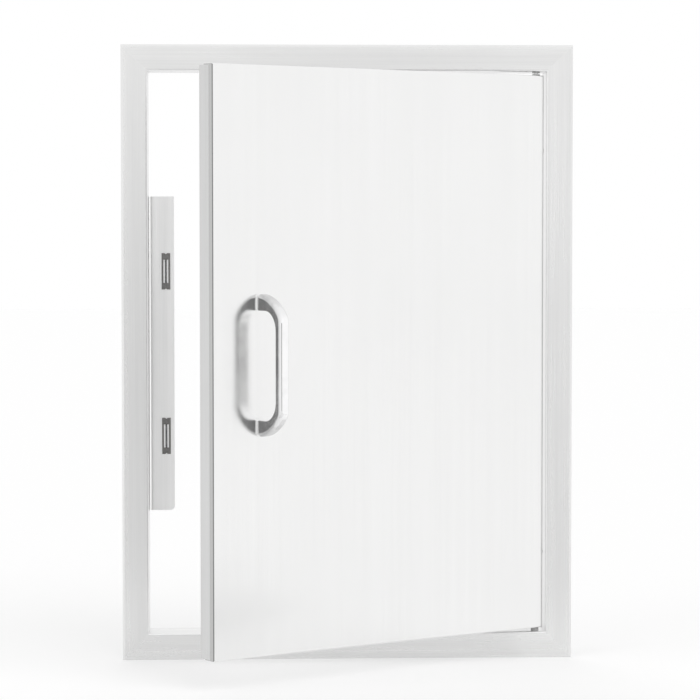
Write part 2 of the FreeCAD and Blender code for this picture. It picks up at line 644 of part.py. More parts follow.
def liner():
    """The door's inner pan, with its sides tucked inside the front skin's lips."""
    body = new_body("door_liner")
    back = new_sketch(body, "XZ", level=DOOR_BACK)
    add_outline(back, box_outline(LINER_LEFT, LINER_RIGHT, f"-{LINER_TOP}", LINER_TOP))
    pad(body, back, f"{DOOR_BACK} - {LINER_FRONT}", towards=-1)
    round_edges(body, "liner_bend", edge_in_plane("y", DOOR_BACK))
    hollow = new_sketch(body, "XZ", level=LINER_FRONT)
    add_outline(hollow, box_outline(CAVITY_LEFT, CAVITY_RIGHT, f"-{CAVITY_TOP}", CAVITY_TOP))
    pocket(body, hollow, f"{CAVITY_BACK} - {LINER_FRONT}")
    round_edges(body, "liner_bend - liner_sheet", edge_in_plane("y", CAVITY_BACK))
    holes = new_sketch(body, "XZ", level=CAVITY_BACK)
    for height in SCREW_HEIGHTS:
        add_circle(holes, HANDLE_MIDDLE, height, "access_hole")
    for _, height in CATCH_HEIGHTS:
        for sign in ("+", "-"):
            place = f"{height} {sign} (strike_height / 2 - strike_rivet_inset)"
            add_circle(holes, STRIKE_X, place, "strike_rivet")
    pocket(body, holes, "liner_sheet")
    half_slot = "(stem_diameter / 2 + stem_play)"
    slot_foot = f"({KNOB_HEIGHT} - pin_travel)"
    slot = new_sketch(body, "XZ", level=CAVITY_BACK)
    add_outline(slot, box_outline(f"-{half_slot}", half_slot, slot_foot, KNOB_HEIGHT))
    pocket(body, slot, "liner_sheet")
    for height in (KNOB_HEIGHT, slot_foot):
        slot_end = new_sketch(body, "XZ", level=CAVITY_BACK)
        add_circle(slot_end, "0", height, f"2 * {half_slot}")
        pocket(body, slot_end, "liner_sheet")
    pivot_holes(body, CAVITY_TOP, "liner_sheet")
    return keep(body, on_door=True)


def channel():
    """A hat section down the middle of the door, between its two skins."""
    body = new_body("door_channel")
    middle = f"({DOOR_RIGHT} - {DOOR_WIDTH} / 2)"
    crown = "channel_crown / 2"
    foot = "(channel_crown / 2 - channel_sheet + channel_foot)"
    end = f"({DOOR_TOP} - channel_margin)"
    section = new_sketch(body, "XY", level=f"-{end}")
    add_outline(section, [
        (f"{middle} - {foot}", SKIN_BACK),
        (f"{middle} - {crown} + channel_sheet", SKIN_BACK),
        (f"{middle} - {crown} + channel_sheet", f"{CAVITY_BACK} - channel_sheet"),
        (f"{middle} + {crown} - channel_sheet", f"{CAVITY_BACK} - channel_sheet"),
        (f"{middle} + {crown} - channel_sheet", SKIN_BACK),
        (f"{middle} + {foot}", SKIN_BACK),
        (f"{middle} + {foot}", f"{SKIN_BACK} + channel_sheet"),
        (f"{middle} + {crown}", f"{SKIN_BACK} + channel_sheet"),
        (f"{middle} + {crown}", CAVITY_BACK),
        (f"{middle} - {crown}", CAVITY_BACK),
        (f"{middle} - {crown}", f"{SKIN_BACK} + channel_sheet"),
        (f"{middle} - {foot}", f"{SKIN_BACK} + channel_sheet"),
    ])
    pad(body, section, f"2 * {end}")
    return keep(body, on_door=True)


def stiffener():
    """The plate that spreads the handle's pull over the front skin."""
    body = new_body("handle_stiffener")
    left = f"{HANDLE_MIDDLE} - stiffener_width / 2"
    right = f"{HANDLE_MIDDLE} + stiffener_width / 2"
    low = "-handle_centres / 2 - handle_drop - stiffener_margin"
    high = "handle_centres / 2 - handle_drop + stiffener_margin"
    plate = new_sketch(body, "XZ", level=SKIN_BACK)
    add_outline(plate, box_outline(left, right, low, high))
    for height in SCREW_HEIGHTS:
        add_circle(plate, HANDLE_MIDDLE, height, "handle_screw + screw_play")
    pad(body, plate, "stiffener_sheet")
    round_edges(body, "stiffener_corner", either(
        edge_along("y", x=left, z=low), edge_along("y", x=right, z=low),
        edge_along("y", x=left, z=high), edge_along("y", x=right, z=high)))
    return keep(body, on_door=True)


def pull_handle():
    """A bow handle: two posts bow out into a flat grip and are bored for its two screws."""
    reach = measure("handle_reach")
    inner_reach = reach - measure("grip_thickness")
    half = measure("(handle_centres + post_height) / 2")
    inner_half = half - measure("post_height")
    bow = measure("post_bow")
    corner = measure("handle_outer_corner")
    inner = measure("handle_inner_corner")
    # The outer side leaves the door square, in an arc to the shoulder and a tighter one to the
    # grip. Both are drawn by the way that the surface faces, from 0 along Z to a quarter turn.
    quarter = math.pi / 2
    shoulder = math.asin((reach - corner) / (bow - corner))
    bow_centre = (0, half - bow)
    corner_centre = (reach - corner, bow_centre[1] + (bow - corner) * math.cos(shoulder))
    inner_centre = (inner_reach - inner, inner_half - inner)
    front = measure(DOOR_FRONT)
    left = measure(HANDLE_LEFT)
    mid_height = -measure("handle_drop")

    def place(out, up):
        return Vector(left, front - out, mid_height + up)

    def on_arc(centre, radius, facing, sign):
        return place(centre[0] + radius * math.sin(facing),
                     sign * (centre[1] + radius * math.cos(facing)))

    def arc(centre, radius, start, end, sign):
        points = [on_arc(centre, radius, facing, sign)
                  for facing in (start, (start + end) / 2, end)]
        return Part.Arc(*points).toShape()

    def line(start, end):
        return Part.LineSegment(start, end).toShape()

    edges = [
        arc(bow_centre, bow, 0, shoulder, 1),
        arc(corner_centre, corner, shoulder, quarter, 1),
        line(on_arc(corner_centre, corner, quarter, 1), on_arc(corner_centre, corner, quarter, -1)),
        arc(corner_centre, corner, quarter, shoulder, -1),
        arc(bow_centre, bow, shoulder, 0, -1),
        line(place(0, -half), place(0, -inner_half)),
        line(place(0, -inner_half), on_arc(inner_centre, inner, 0, -1)),
        arc(inner_centre, inner, 0, quarter, -1),
        line(on_arc(inner_centre, inner, quarter, -1), on_arc(inner_centre, inner, quarter, 1)),
        arc(inner_centre, inner, quarter, 0, 1),
        line(on_arc(inner_centre, inner, 0, 1), place(0, inner_half)),
        line(place(0, inner_half), place(0, half)),
    ]
    profile = Part.Face(Part.Wire(edges))
    solid = profile.extrude(Vector(measure("grip_width"), 0, 0))

    # The outer and the inner edges run round the bow on both sides, clear of the door.
    def on_outer_side(edge):
        spot = edge.valueAt((edge.FirstParameter + edge.LastParameter) / 2)
        out, up = front - spot.y, abs(spot.z - mid_height)
        return out > inner_reach or up > (half + inner_half) / 2

    def is_bow_edge(edge):
        box = edge.BoundBox
        return box.XLength < SAME_PLACE and box.YMin < front - SAME_PLACE

    def is_foot_edge(edge):
        return edge.BoundBox.YMin > front - SAME_PLACE

    bow_edges = [edge for edge in solid.Edges if is_bow_edge(edge)]
    outer_edges = [edge for edge in bow_edges if on_outer_side(edge)]
    inner_edges = [edge for edge in bow_edges if not on_outer_side(edge)]
    solid = solid.makeFillet(measure("handle_outer_edge"), outer_edges)
    inner_edges = [edge for edge in solid.Edges
                   if is_bow_edge(edge) and any(edge.isSame(kept) or
                   edge.CenterOfMass.distanceToPoint(kept.CenterOfMass) < SAME_EDGE
                   for kept in inner_edges)]
    solid = solid.makeFillet(measure("handle_inner_edge"), inner_edges)
    foot_edges = [edge for edge in solid.Edges if is_foot_edge(edge)]
    solid = solid.makeFillet(measure("handle_foot_edge"), foot_edges)
    depth = measure("handle_screw_grip + screw_play")
    for height in SCREW_HEIGHTS:
        bore = Part.makeCylinder(measure("handle_screw") / 2, depth,
                                 Vector(measure(HANDLE_MIDDLE), front, measure(height)),
                                 Vector(0, -1, 0))
        solid = solid.cut(bore)
    handle = doc.addObject("Part::Feature", "pull_handle")
    handle.Label = "pull_handle"
    handle.Shape = solid
    return keep(handle, on_door=True)


def cross_outline(x, y, length, width):
    """The outline of a plus sign, for a screw's recess."""
    long, short = f"{length} / 2", f"{width} / 2"
    corners = (
        ("-", long, "-", short), ("-", short, "-", short), ("-", short, "-", long),
        ("+", short, "-", long), ("+", short, "-", short), ("+", long, "-", short),
        ("+", long, "+", short), ("+", short, "+", short), ("+", short, "+", long),
        ("-", short, "+", long), ("-", short, "+", short), ("-", long, "+", short),
    )
    return [(f"{x} {a} {b}", f"{y} {c} {d}") for a, b, c, d in corners]


def handle_screws():
    """Pan-head screws from inside the door into the handle's posts."""
    members = []
    top = f"{SCREW_SEAT} + screw_head_height"
    for number, height in enumerate(SCREW_HEIGHTS, 1):
        screw = turned(f"handle_screw_{number}", "y", (HANDLE_MIDDLE, height), [
            (f"{DOOR_FRONT} - handle_screw_grip", "0"),
            (f"{DOOR_FRONT} - handle_screw_grip", f"handle_screw / 2 - {SMALL_CHAMFER}"),
            (f"{DOOR_FRONT} - handle_screw_grip + {SMALL_CHAMFER}", "handle_screw / 2"),
            (SCREW_SEAT, "handle_screw / 2"),
            (SCREW_SEAT, "screw_head / 2"),
            (f"{top} - recess_depth", "screw_head / 2"),
            (top, "screw_head_flat / 2"),
            (top, "0"),
        ])
        recess = new_sketch(screw, "XZ", level=top)
        add_outline(recess, cross_outline(HANDLE_MIDDLE, height, "recess_length",
                                          "recess_width"))
        pocket(screw, recess, "recess_depth", towards=-1)
        members.append(screw)
    return keep(group("handle_screws", members), on_door=True)


def ring(name, axis, centre, start, length, inner, outer):
    """A flat ring from a start along its axis."""
    return turned(name, axis, centre, [
        (start, inner), (f"{start} + {length}", inner),
        (f"{start} + {length}", outer), (start, outer),
    ])


def handle_washers():
    members = [ring(f"handle_washer_{number}", "y", (HANDLE_MIDDLE, height),
                    f"{SKIN_BACK} + stiffener_sheet", "handle_washer_sheet",
                    "(handle_screw + screw_play) / 2", "handle_washer / 2")
               for number, height in enumerate(SCREW_HEIGHTS, 1)]
    return keep(group("handle_washers", members), on_door=True)


def liner_plugs():
    """Caps that snap into the liner's holes over the handle screws."""
    members = []
    cap = f"{DOOR_BACK} + plug_cap"
    for number, height in enumerate(SCREW_HEIGHTS, 1):
        members.append(turned(f"liner_plug_{number}", "y", (HANDLE_MIDDLE, height), [
            (DOOR_BACK, "0"),
            (DOOR_BACK, "access_hole / 2 - plug_wall"),
            (f"{DOOR_BACK} - plug_skirt", "access_hole / 2 - plug_wall"),
            (f"{DOOR_BACK} - plug_skirt", "access_hole / 2"),
            (DOOR_BACK, "access_hole / 2"),
            (DOOR_BACK, "access_hole / 2 + plug_rim"),
            (f"{cap} - plug_cap / 2", "access_hole / 2 + plug_rim"),
            (cap, "access_hole / 2 + plug_rim - plug_cap / 2"),
            (cap, "0"),
        ]))
    return keep(group("liner_plugs", members), on_door=True)


def pin_bracket():
    """A bent bracket in the door's upper corner. Its two ears carry the upper pin."""
    body = new_body("pin_bracket")
    web = "(-carrier_reach)"
    section = new_sketch(body, "XZ", level="-carrier_front")
    add_outline(section, [
        (web, CAVITY_TOP),
        (CAVITY_RIGHT, CAVITY_TOP),
        (CAVITY_RIGHT, EAR_UNDERSIDE),
        (f"{web} + bracket_sheet", EAR_UNDERSIDE),
        (f"{web} + bracket_sheet", SPRING_FOOT),
        (CAVITY_RIGHT, SPRING_FOOT),
        (CAVITY_RIGHT, BRACKET_FOOT),
        (web, BRACKET_FOOT),
    ])
    pad(body, section, "carrier_depth")
    round_edges(body, "bracket_bend", either(
        edge_along("y", x=web, z=CAVITY_TOP), edge_along("y", x=web, z=BRACKET_FOOT)))
    round_edges(body, "bracket_bend - bracket_sheet", either(
        edge_along("y", x=f"{web} + bracket_sheet", z=EAR_UNDERSIDE),
        edge_along("y", x=f"{web} + bracket_sheet", z=SPRING_FOOT)))
    upper = new_sketch(body, "XY", level=EAR_UNDERSIDE)
    add_circle(upper, "0", "0", f"2 * {BUSH_RADIUS}")
    pocket(body, upper, "bracket_sheet")
    lower = new_sketch(body, "XY", level=SPRING_FOOT)
    add_circle(lower, "0", "0", f"2 * {BORE_RADIUS}")
    pocket(body, lower, "bracket_sheet", towards=-1)
    return keep(body, on_door=True)


def door_pin_bush():
    """The flanged bush that guides the upper pin through the door's top edge."""
    foot = EAR_UNDERSIDE
    bush = turned("door_pin_bush", "z", ("0", "0"), [
        (foot, BORE_RADIUS),
        (foot, BUSH_RADIUS),
        (DOOR_TOP, BUSH_RADIUS),
        (DOOR_TOP, "bush_flange_width / 2"),
        (f"{DOOR_TOP} + bush_flange", "bush_flange_width / 2"),
        (f"{DOOR_TOP} + bush_flange", BORE_RADIUS),
    ])
    return keep(bush, on_door=True)


STOP_CLIP_TOP = f"({EAR_UNDERSIDE} - clip_play)"
SEAT_CLIP_TOP = f"({SPRING_TOP} + clip_thickness)"
GROOVE_RADIUS = "(pin_diameter / 2 - clip_groove)"


def upper_pivot_pin():
    """The sliding pin, grooved for its two clips and drilled for the knob's stem."""
    top = "(opening_height / 2 + pin_reach)"
    foot = f"({BRACKET_FOOT} - pin_tail)"
    radius = "pin_diameter / 2"
    profile = [
        (foot, "0"),
        (foot, f"{radius} - {SMALL_CHAMFER}"),
        (f"{foot} + {SMALL_CHAMFER}", radius),
    ]
    for groove_top in (SEAT_CLIP_TOP, STOP_CLIP_TOP):
        groove_foot = f"{groove_top} - clip_thickness"
        profile += [(groove_foot, radius), (groove_foot, GROOVE_RADIUS),
                    (groove_top, GROOVE_RADIUS), (groove_top, radius)]
    profile += [
        (f"{top} - 2 * {SMALL_CHAMFER}", radius),
        (top, f"{radius} - 2 * {SMALL_CHAMFER}"),
        (top, "0"),
    ]
    pin = turned("upper_pivot_pin", "z", ("0", "0"), profile)
    cross_hole = new_sketch(pin, "XZ", level="0")
    add_circle(cross_hole, "0", KNOB_HEIGHT, "stem_tip")
    pocket(pin, cross_hole, "pin_diameter")
    return keep(pin, on_door=True)


def pin_clips():
    """One clip stops the pin below the upper ear, and the other is the spring's seat."""
    members = [ring(f"pin_clip_{number}", "z", ("0", "0"), f"{top} - clip_thickness",
                    "clip_thickness", GROOVE_RADIUS, "clip_diameter / 2")
               for number, top in enumerate((STOP_CLIP_TOP, SEAT_CLIP_TOP), 1)]
    return keep(group("pin_clips", members), on_door=True)


def release_knob():
    """A waisted knob behind the door, whose stem passes a slot in the liner to the pin."""
    seat = f"{DOOR_BACK} + knob_gap"
    knob = turned("release_knob", "y", ("0", KNOB_HEIGHT), [
        ("0", "0"),
        ("0", "stem_tip / 2"),
        ("pin_diameter / 2", "stem_tip / 2"),
        ("pin_diameter / 2", "stem_diameter / 2"),
        (seat, "stem_diameter / 2"),
        (seat, "knob_collar / 2"),
        (f"{seat} + knob_length / 2 - knob_band", "knob_waist / 2"),
        (f"{seat} + knob_length / 2", "knob_waist / 2"),
        (f"{seat} + knob_length - 3 / 2 * knob_band", "knob_diameter / 2"),
        (f"{seat} + knob_length - knob_band / 2", "knob_diameter / 2"),
        (f"{seat} + knob_length", "knob_collar / 2"),
        (f"{seat} + knob_length", "0"),
    ])
    return keep(knob, on_door=True)


def pin_spring():
    """A coil of round wire between the lower ear and the seat clip."""
    wire = measure("spring_wire")
    radius = measure("pin_diameter / 2 + spring_play") + wire / 2
    length = measure("spring_length") - wire
    turns = 10
    helix = Part.makeHelix(length / turns, length, radius)
    start = Vector(radius, 0, 0)
    pitch_angle = math.atan2(length / turns, 2 * math.pi * radius)
    heading = Vector(0, math.cos(pitch_angle), math.sin(pitch_angle))
    section = Part.Wire([Part.makeCircle(wire / 2, start, heading)])
    coil = Part.Wire(helix.Edges).makePipeShell([section], True, True)
    coil.translate(Vector(0, 0, measure(SPRING_FOOT) + wire / 2))
    spring = doc.addObject("Part::Feature", "pin_spring")
    spring.Label = "pin_spring"
    spring.Shape = coil
    return keep(spring, on_door=True)


def lower_pivot_block():
    """The steel block in the door's lower corner that the fixed pin is pressed into."""
    body = new_body("lower_pivot_block")
    foot = new_sketch(body, "XY", level=f"-{CAVITY_TOP}")
    add_outline(foot, box_outline("-carrier_reach", CAVITY_RIGHT, "-carrier_front",
                                  "carrier_depth - carrier_front"))
    add_circle(foot, "0", "0", "pin_diameter")
    pad(body, foot, "block_height")
    round_edges(body, "block_corner", either(
        edge_along("z", x="-carrier_reach", y="-carrier_front"),
        edge_along("z", x="-carrier_reach", y="carrier_depth - carrier_front")))
    return keep(body, on_door=True)


def lower_pivot_pin():
    foot = "(-opening_height / 2 - lower_pin_reach)"
    radius = "pin_diameter / 2"
    pin = turned("lower_pivot_pin", "z", ("0", "0"), [
        (foot, "0"),
        (foot, f"{radius} - 2 * {SMALL_CHAMFER}"),
        (f"{foot} + 2 * {SMALL_CHAMFER}", radius),
        (f"block_height - {CAVITY_TOP}", radius),
        (f"block_height - {CAVITY_TOP}", "0"),
    ])
    return keep(pin, on_door=True)


def lower_thrust_washer():
    """The washer on the lower pin that carries the door on the frame's lower bush."""
    thickness = "(end_gap - bush_flange - washer_play)"
    washer = ring("lower_thrust_washer", "z", ("0", "0"), f"-{DOOR_TOP} - {thickness}",
                  thickness, BORE_RADIUS, "bush_flange_width / 2")
    return keep(washer, on_door=True)


def strike_plate(side, height):
    """A steel plate on the back of the door, opposite a catch."""
    body = new_body(f"{side}_strike_plate")
    left, right = f"{STRIKE_X} - strike_width / 2", f"{STRIKE_X} + strike_width / 2"
    low, high = f"{height} - strike_height / 2", f"{height} + strike_height / 2"
    plate = new_sketch(body, "XZ", level=DOOR_BACK)
    add_outline(plate, box_outline(left, right, low, high))
    for place in (f"{low} + strike_rivet_inset", f"{high} - strike_rivet_inset"):
        add_circle(plate, STRIKE_X, place, "strike_rivet")
    pad(body, plate, "strike_sheet")
    round_edges(body, "strike_corner", either(
        edge_along("y", x=left, z=low), edge_along("y", x=right, z=low),
        edge_along("y", x=left, z=high), edge_along("y", x=right, z=high)))
    return keep(body, on_door=True)


def strike_rivets():
    members = []
    for side, height in CATCH_HEIGHTS:
        for sign in ("+", "-"):
            place = f"{height} {sign} (strike_height / 2 - strike_rivet_inset)"
            members.append(rivet(f"strike_rivet_{len(members) + 1}", "y", (STRIKE_X, place),
                                 f"({DOOR_BACK} + strike_sheet)", "+", "strike_rivet",
                                 "strike_sheet + liner_sheet"))
    return keep(group("strike_rivets", members), on_door=True)


FIXING_HOLES = [("fixing_setback", f"{sign}fixing_spacing / 2", "fixing_hole")
                for sign in ("", "-")]
# The left stile is turned half round, so that its own Z runs down.
LEFT_RIVET_HOLES = [(depth, f"-{height}", "bracket_rivet") for depth, height in RIVET_PLACES]

frame_member("frame_left_stile", 180, "opening_height", "opening_width / 2",
             FIXING_HOLES + LEFT_RIVET_HOLES)
frame_member("frame_right_stile", 0, "opening_height", "opening_width / 2", FIXING_HOLES)
frame_member("frame_top_rail", -90, "opening_width", "opening_height / 2",
             [(PIVOT_Y, f"-{PIVOT_X}", f"2 * {BUSH_RADIUS}")])
frame_member("frame_bottom_rail", 90, "opening_width", "opening_height / 2",
             [(PIVOT_Y, PIVOT_X, f"2 * {BUSH_RADIUS}")])
frame_bush("upper_frame_bush", "")
frame_bush("lower_frame_bush", "-")
strike_bracket()
bracket_rivets()
for side, height in CATCH_HEIGHTS:
    catch_case(side, height)
    catch_poles(side, height)
    catch_magnet(side, height)

front_skin()
liner()
channel()
stiffener()
pull_handle()
handle_screws()
handle_washers()
liner_plugs()
pin_bracket()
door_pin_bush()
pin_spring()
lower_pivot_block()
lower_pivot_pin()
lower_thrust_washer()
for side, height in CATCH_HEIGHTS:
    strike_plate(side, height)
strike_rivets()

upper_pivot_pin()
pin_clips()
release_knob()

doc.recompute()
for item in doc.Objects:
    if "Invalid" in item.State or "Error" in item.State:
        raise ValueError(f"{item.Label} failed: {item.State}")
for node in nodes:
    if node.Shape.isNull() or not node.Shape.isValid():
        raise ValueError(f"{node.Label} has no valid shape")

os.makedirs("parts", exist_ok=True)
for node in nodes:
    node.Shape.exportStep(f"parts/{node.Label}.step")
    print(node.Label, len(node.Shape.Solids), round(node.Shape.Volume, 1))
print(len(nodes), "nodes")
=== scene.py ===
import json
import math

import bmesh
import bpy
from mathutils import Matrix, Vector


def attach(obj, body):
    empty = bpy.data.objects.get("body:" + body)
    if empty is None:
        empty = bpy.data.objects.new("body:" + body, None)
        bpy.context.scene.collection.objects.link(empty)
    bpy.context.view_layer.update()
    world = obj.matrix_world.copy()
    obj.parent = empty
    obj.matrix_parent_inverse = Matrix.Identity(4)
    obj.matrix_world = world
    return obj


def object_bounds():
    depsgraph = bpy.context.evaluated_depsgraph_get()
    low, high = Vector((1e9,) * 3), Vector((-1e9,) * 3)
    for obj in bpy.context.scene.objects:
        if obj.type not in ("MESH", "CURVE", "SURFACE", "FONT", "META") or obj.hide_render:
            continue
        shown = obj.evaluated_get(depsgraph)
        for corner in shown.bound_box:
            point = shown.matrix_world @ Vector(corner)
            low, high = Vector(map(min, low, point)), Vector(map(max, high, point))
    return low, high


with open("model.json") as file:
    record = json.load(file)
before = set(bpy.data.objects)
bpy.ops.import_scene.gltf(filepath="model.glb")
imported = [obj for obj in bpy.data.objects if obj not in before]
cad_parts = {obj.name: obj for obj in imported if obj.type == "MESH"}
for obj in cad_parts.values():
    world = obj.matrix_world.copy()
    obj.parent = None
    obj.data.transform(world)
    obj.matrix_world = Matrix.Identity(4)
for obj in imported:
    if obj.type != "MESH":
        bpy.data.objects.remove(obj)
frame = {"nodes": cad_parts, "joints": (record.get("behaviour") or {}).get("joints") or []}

bl_info = {
    "name": "Island access door",
    "version": (1, 0, 0),
    "blender": (4, 5, 0),
    "location": "3D View > Sidebar > Access door",
    "description": "Finishes the packed access door and sets up its studio",
    "category": "Object",
}

CAD_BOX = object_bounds()

# Lengths are in metres. Two spots nearer than this are one place.
SAME_PLACE = 0.0001

# Ways in the frame's own axes, seen from outside the island.
LEFT = (-1.0, 0.0, 0.0)
RIGHT = (1.0, 0.0, 0.0)
INTO_ISLAND = (0.0, 1.0, 0.0)
DOWN = (0.0, 0.0, -1.0)
UP = (0.0, 0.0, 1.0)

# The door stands open at rest, by its hinge's travel to the shut end. Its pieces and their grain
# are turned by that angle.
HINGE = next(joint for joint in frame["joints"] if joint["name"] == "door_hinge")
DOOR_ANGLE = math.radians(HINGE["range_deg"][0])
ALONG_DOOR = (math.cos(DOOR_ANGLE), -math.sin(DOOR_ANGLE), 0.0)
OUT_OF_DOOR = (-math.sin(DOOR_ANGLE), -math.cos(DOOR_ANGLE), 0.0)

# How many grain lines cross a metre of brushed sheet, and how often they break off along it.
LINES_ACROSS = 900.0
LINES_ALONG = 9.0
GRAIN_ALONG_X = (LINES_ALONG, LINES_ACROSS, LINES_ACROSS)
GRAIN_ALONG_Z = (LINES_ACROSS, LINES_ACROSS, LINES_ALONG)

# The frame's members: the way that the grain of each runs, and the way to the opening.
MEMBERS = {
    "left_stile": (GRAIN_ALONG_Z, RIGHT),
    "right_stile": (GRAIN_ALONG_Z, LEFT),
    "top_rail": (GRAIN_ALONG_X, DOWN),
    "bottom_rail": (GRAIN_ALONG_X, UP),
}

# A weld bead's points: how many lie round it, how many rows make a ripple, and the fewest rows.
BEAD_SIDES = 12
BEAD_ROWS_TO_A_RIPPLE = 6
BEAD_LEAST_ROWS = 8
# Its form, in shares of its radius. From its thin ends it grows as fast as it would to reach
# BEAD_GROWTH radii over its whole run.
BEAD_VALLEY = 0.86
BEAD_CREST = 0.16
BEAD_HEIGHT = 0.8
BEAD_LEAN = 0.35
BEAD_END = 0.35
BEAD_GROWTH = 10.0
# How an unsteady hand makes it swell: by how much, at what pace along it, and from where.
BEAD_WANDER = ((0.05, 420.0, 0.0), (0.04, 1130.0, 1.0))

# The background's strength as a lamp, and where the camera or metal sees it.
SKY_AS_LAMP = 0.55
SKY_SEEN = 1.0

FLOOR_COLOUR = (0.5, 0.5, 0.5)
FLOOR_ROUGHNESS = 0.9

# The grey card stands this far out from the wall, and glows at this level.
GREY_CARD_DISTANCE = 2.0
GREY_CARD_LEVEL = 0.17

# The pale sheets that lie on the floor for the frame's lower half to mirror: how wide and how
# deep each is, and the place of its middle to the right and into the island.
PALE_SHEETS = {
    "far_card": (0.95, 1.3, (0.0, -1.05)),
    "near_card": (0.44, 0.18, (-0.03, -0.1)),
}
PALE_SHEET_LEVEL = 0.82
# How far they are kept above the floor.
PALE_SHEET_LIFT = 0.002

# The lamps: the side that each one shines from, and its strength.
SUNS = {
    "key_sun": ((0.55, -0.75, 1.0), 0.8),
    "fill_sun": ((-0.8, -0.6, 1.0), 0.5),
    "back_sun": ((-0.2, 1.0, 1.1), 0.5),
}
SUN_SPREAD = math.radians(40)
SUN_DISTANCE = 3.0

# The photo's camera, fitted to the corners of the frame and of the door: its place, its turns
# about X, Y and Z in degrees, its sensor in millimetres, and how near and far it sees.
CAMERA_PLACE = (-0.11331, -2.95694, 0.14186)
CAMERA_TURNS = (87.3182, 0.0185, -2.2499)
SENSOR_WIDTH = 36.0
NEAREST_SEEN = 0.05
FARTHEST_SEEN = 100.0


class FinishColours(bpy.types.PropertyGroup):
    """The colours of the door's finishes."""

    frame_steel: bpy.props.FloatVectorProperty(
        name="Frame steel", description="Brushed stainless of the frame",
        subtype="COLOR", size=3, min=0, max=1, default=(0.83, 0.83, 0.827))
    # Painted highlight: the folds round the frame's opening are coloured white.
    frame_fold_highlight: bpy.props.FloatVectorProperty(
        name="Frame fold", description="The polished folds round the frame's opening",
        subtype="COLOR", size=3, min=0, max=1, default=(1.0, 1.0, 1.0))
    bracket_steel: bpy.props.FloatVectorProperty(
        name="Bracket steel", description="Brushed stainless of the strike bracket's face",
        subtype="COLOR", size=3, min=0, max=1, default=(0.95, 0.95, 0.947))
    # Painted highlight: the strike bracket's leg is coloured lighter than its face, which is the same
    # steel.
    bracket_leg_highlight: bpy.props.FloatVectorProperty(
        name="Bracket leg", description="The strike bracket's leg on the return wall",
        subtype="COLOR", size=3, min=0, max=1, default=(1.0, 1.0, 1.0))
    # Painted highlight: the strike bracket's bend glows with this colour, though it is no lamp.
    bracket_painted_glint: bpy.props.FloatVectorProperty(
        name="Bracket glint", description="The bright line along the strike bracket's bend",
        subtype="COLOR", size=3, min=0, max=1, default=(0.55, 0.55, 0.55))
    door_steel: bpy.props.FloatVectorProperty(
        name="Door steel", description="Fine brushed stainless of the door's front skin",
        subtype="COLOR", size=3, min=0, max=1, default=(0.9, 0.9, 0.897))
    # Painted shade: the front skin is coloured darker where it is folded back round the door.
    door_lip_shade: bpy.props.FloatVectorProperty(
        name="Door lip", description="The front skin where it is folded back round the door",
        subtype="COLOR", size=3, min=0, max=1, default=(0.52, 0.52, 0.518))
    # Painted shade: a dark line coloured along the upright folds of the front skin.
    door_fold_shade: bpy.props.FloatVectorProperty(
        name="Door fold", description="The dark line on the upright folds of the front skin",
        subtype="COLOR", size=3, min=0, max=1, default=(0.16, 0.16, 0.16))
    liner_steel: bpy.props.FloatVectorProperty(
        name="Liner steel", description="Brushed stainless of the pan behind the front skin",
        subtype="COLOR", size=3, min=0, max=1, default=(0.67, 0.67, 0.668))
    chrome: bpy.props.FloatVectorProperty(
        name="Handle chrome", description="Polished plate of the pull handle's front",
        subtype="COLOR", size=3, min=0, max=1, default=(0.97, 0.97, 0.973))
    # Painted shade: the pull handle's sides and back are coloured darker than its front, though they are
    # the same plate.
    chrome_side_shade: bpy.props.FloatVectorProperty(
        name="Handle sides", description="Duller plate of the pull handle's sides and back",
        subtype="COLOR", size=3, min=0, max=1, default=(0.58, 0.58, 0.583))
    zinc: bpy.props.FloatVectorProperty(
        name="Galvanised steel", description="Spangled zinc of the pieces between the skins",
        subtype="COLOR", size=3, min=0, max=1, default=(0.60, 0.62, 0.64))
    plate: bpy.props.FloatVectorProperty(
        name="Plated steel", description="Bright zinc plate of the strikes and pole plates",
        subtype="COLOR", size=3, min=0, max=1, default=(0.93, 0.93, 0.93))
    turned_steel: bpy.props.FloatVectorProperty(
        name="Turned steel", description="Bright steel of pins, clips, spring and screws",
        subtype="COLOR", size=3, min=0, max=1, default=(0.62, 0.62, 0.62))
    rivet: bpy.props.FloatVectorProperty(
        name="Rivet aluminium", description="Satin aluminium of the blind rivets",
        subtype="COLOR", size=3, min=0, max=1, default=(0.76, 0.76, 0.77))
    ferrite: bpy.props.FloatVectorProperty(
        name="Magnet", description="Sintered ferrite between the pole plates",
        subtype="COLOR", size=3, min=0, max=1, default=(0.19, 0.19, 0.195))
    catch: bpy.props.FloatVectorProperty(
        name="Catch plastic", description="Moulded case of a magnetic catch",
        subtype="COLOR", size=3, min=0, max=1, default=(0.26, 0.255, 0.25))
    bush: bpy.props.FloatVectorProperty(
        name="Bush nylon", description="Grey nylon of the pivot bushes and the washer",
        subtype="COLOR", size=3, min=0, max=1, default=(0.56, 0.56, 0.555))
    knob: bpy.props.FloatVectorProperty(
        name="Knob plastic", description="Moulded plastic of the release knob",
        subtype="COLOR", size=3, min=0, max=1, default=(0.035, 0.035, 0.036))
    plug: bpy.props.FloatVectorProperty(
        name="Plug plastic", description="Moulded plastic of the liner's plugs",
        subtype="COLOR", size=3, min=0, max=1, default=(0.42, 0.42, 0.42))


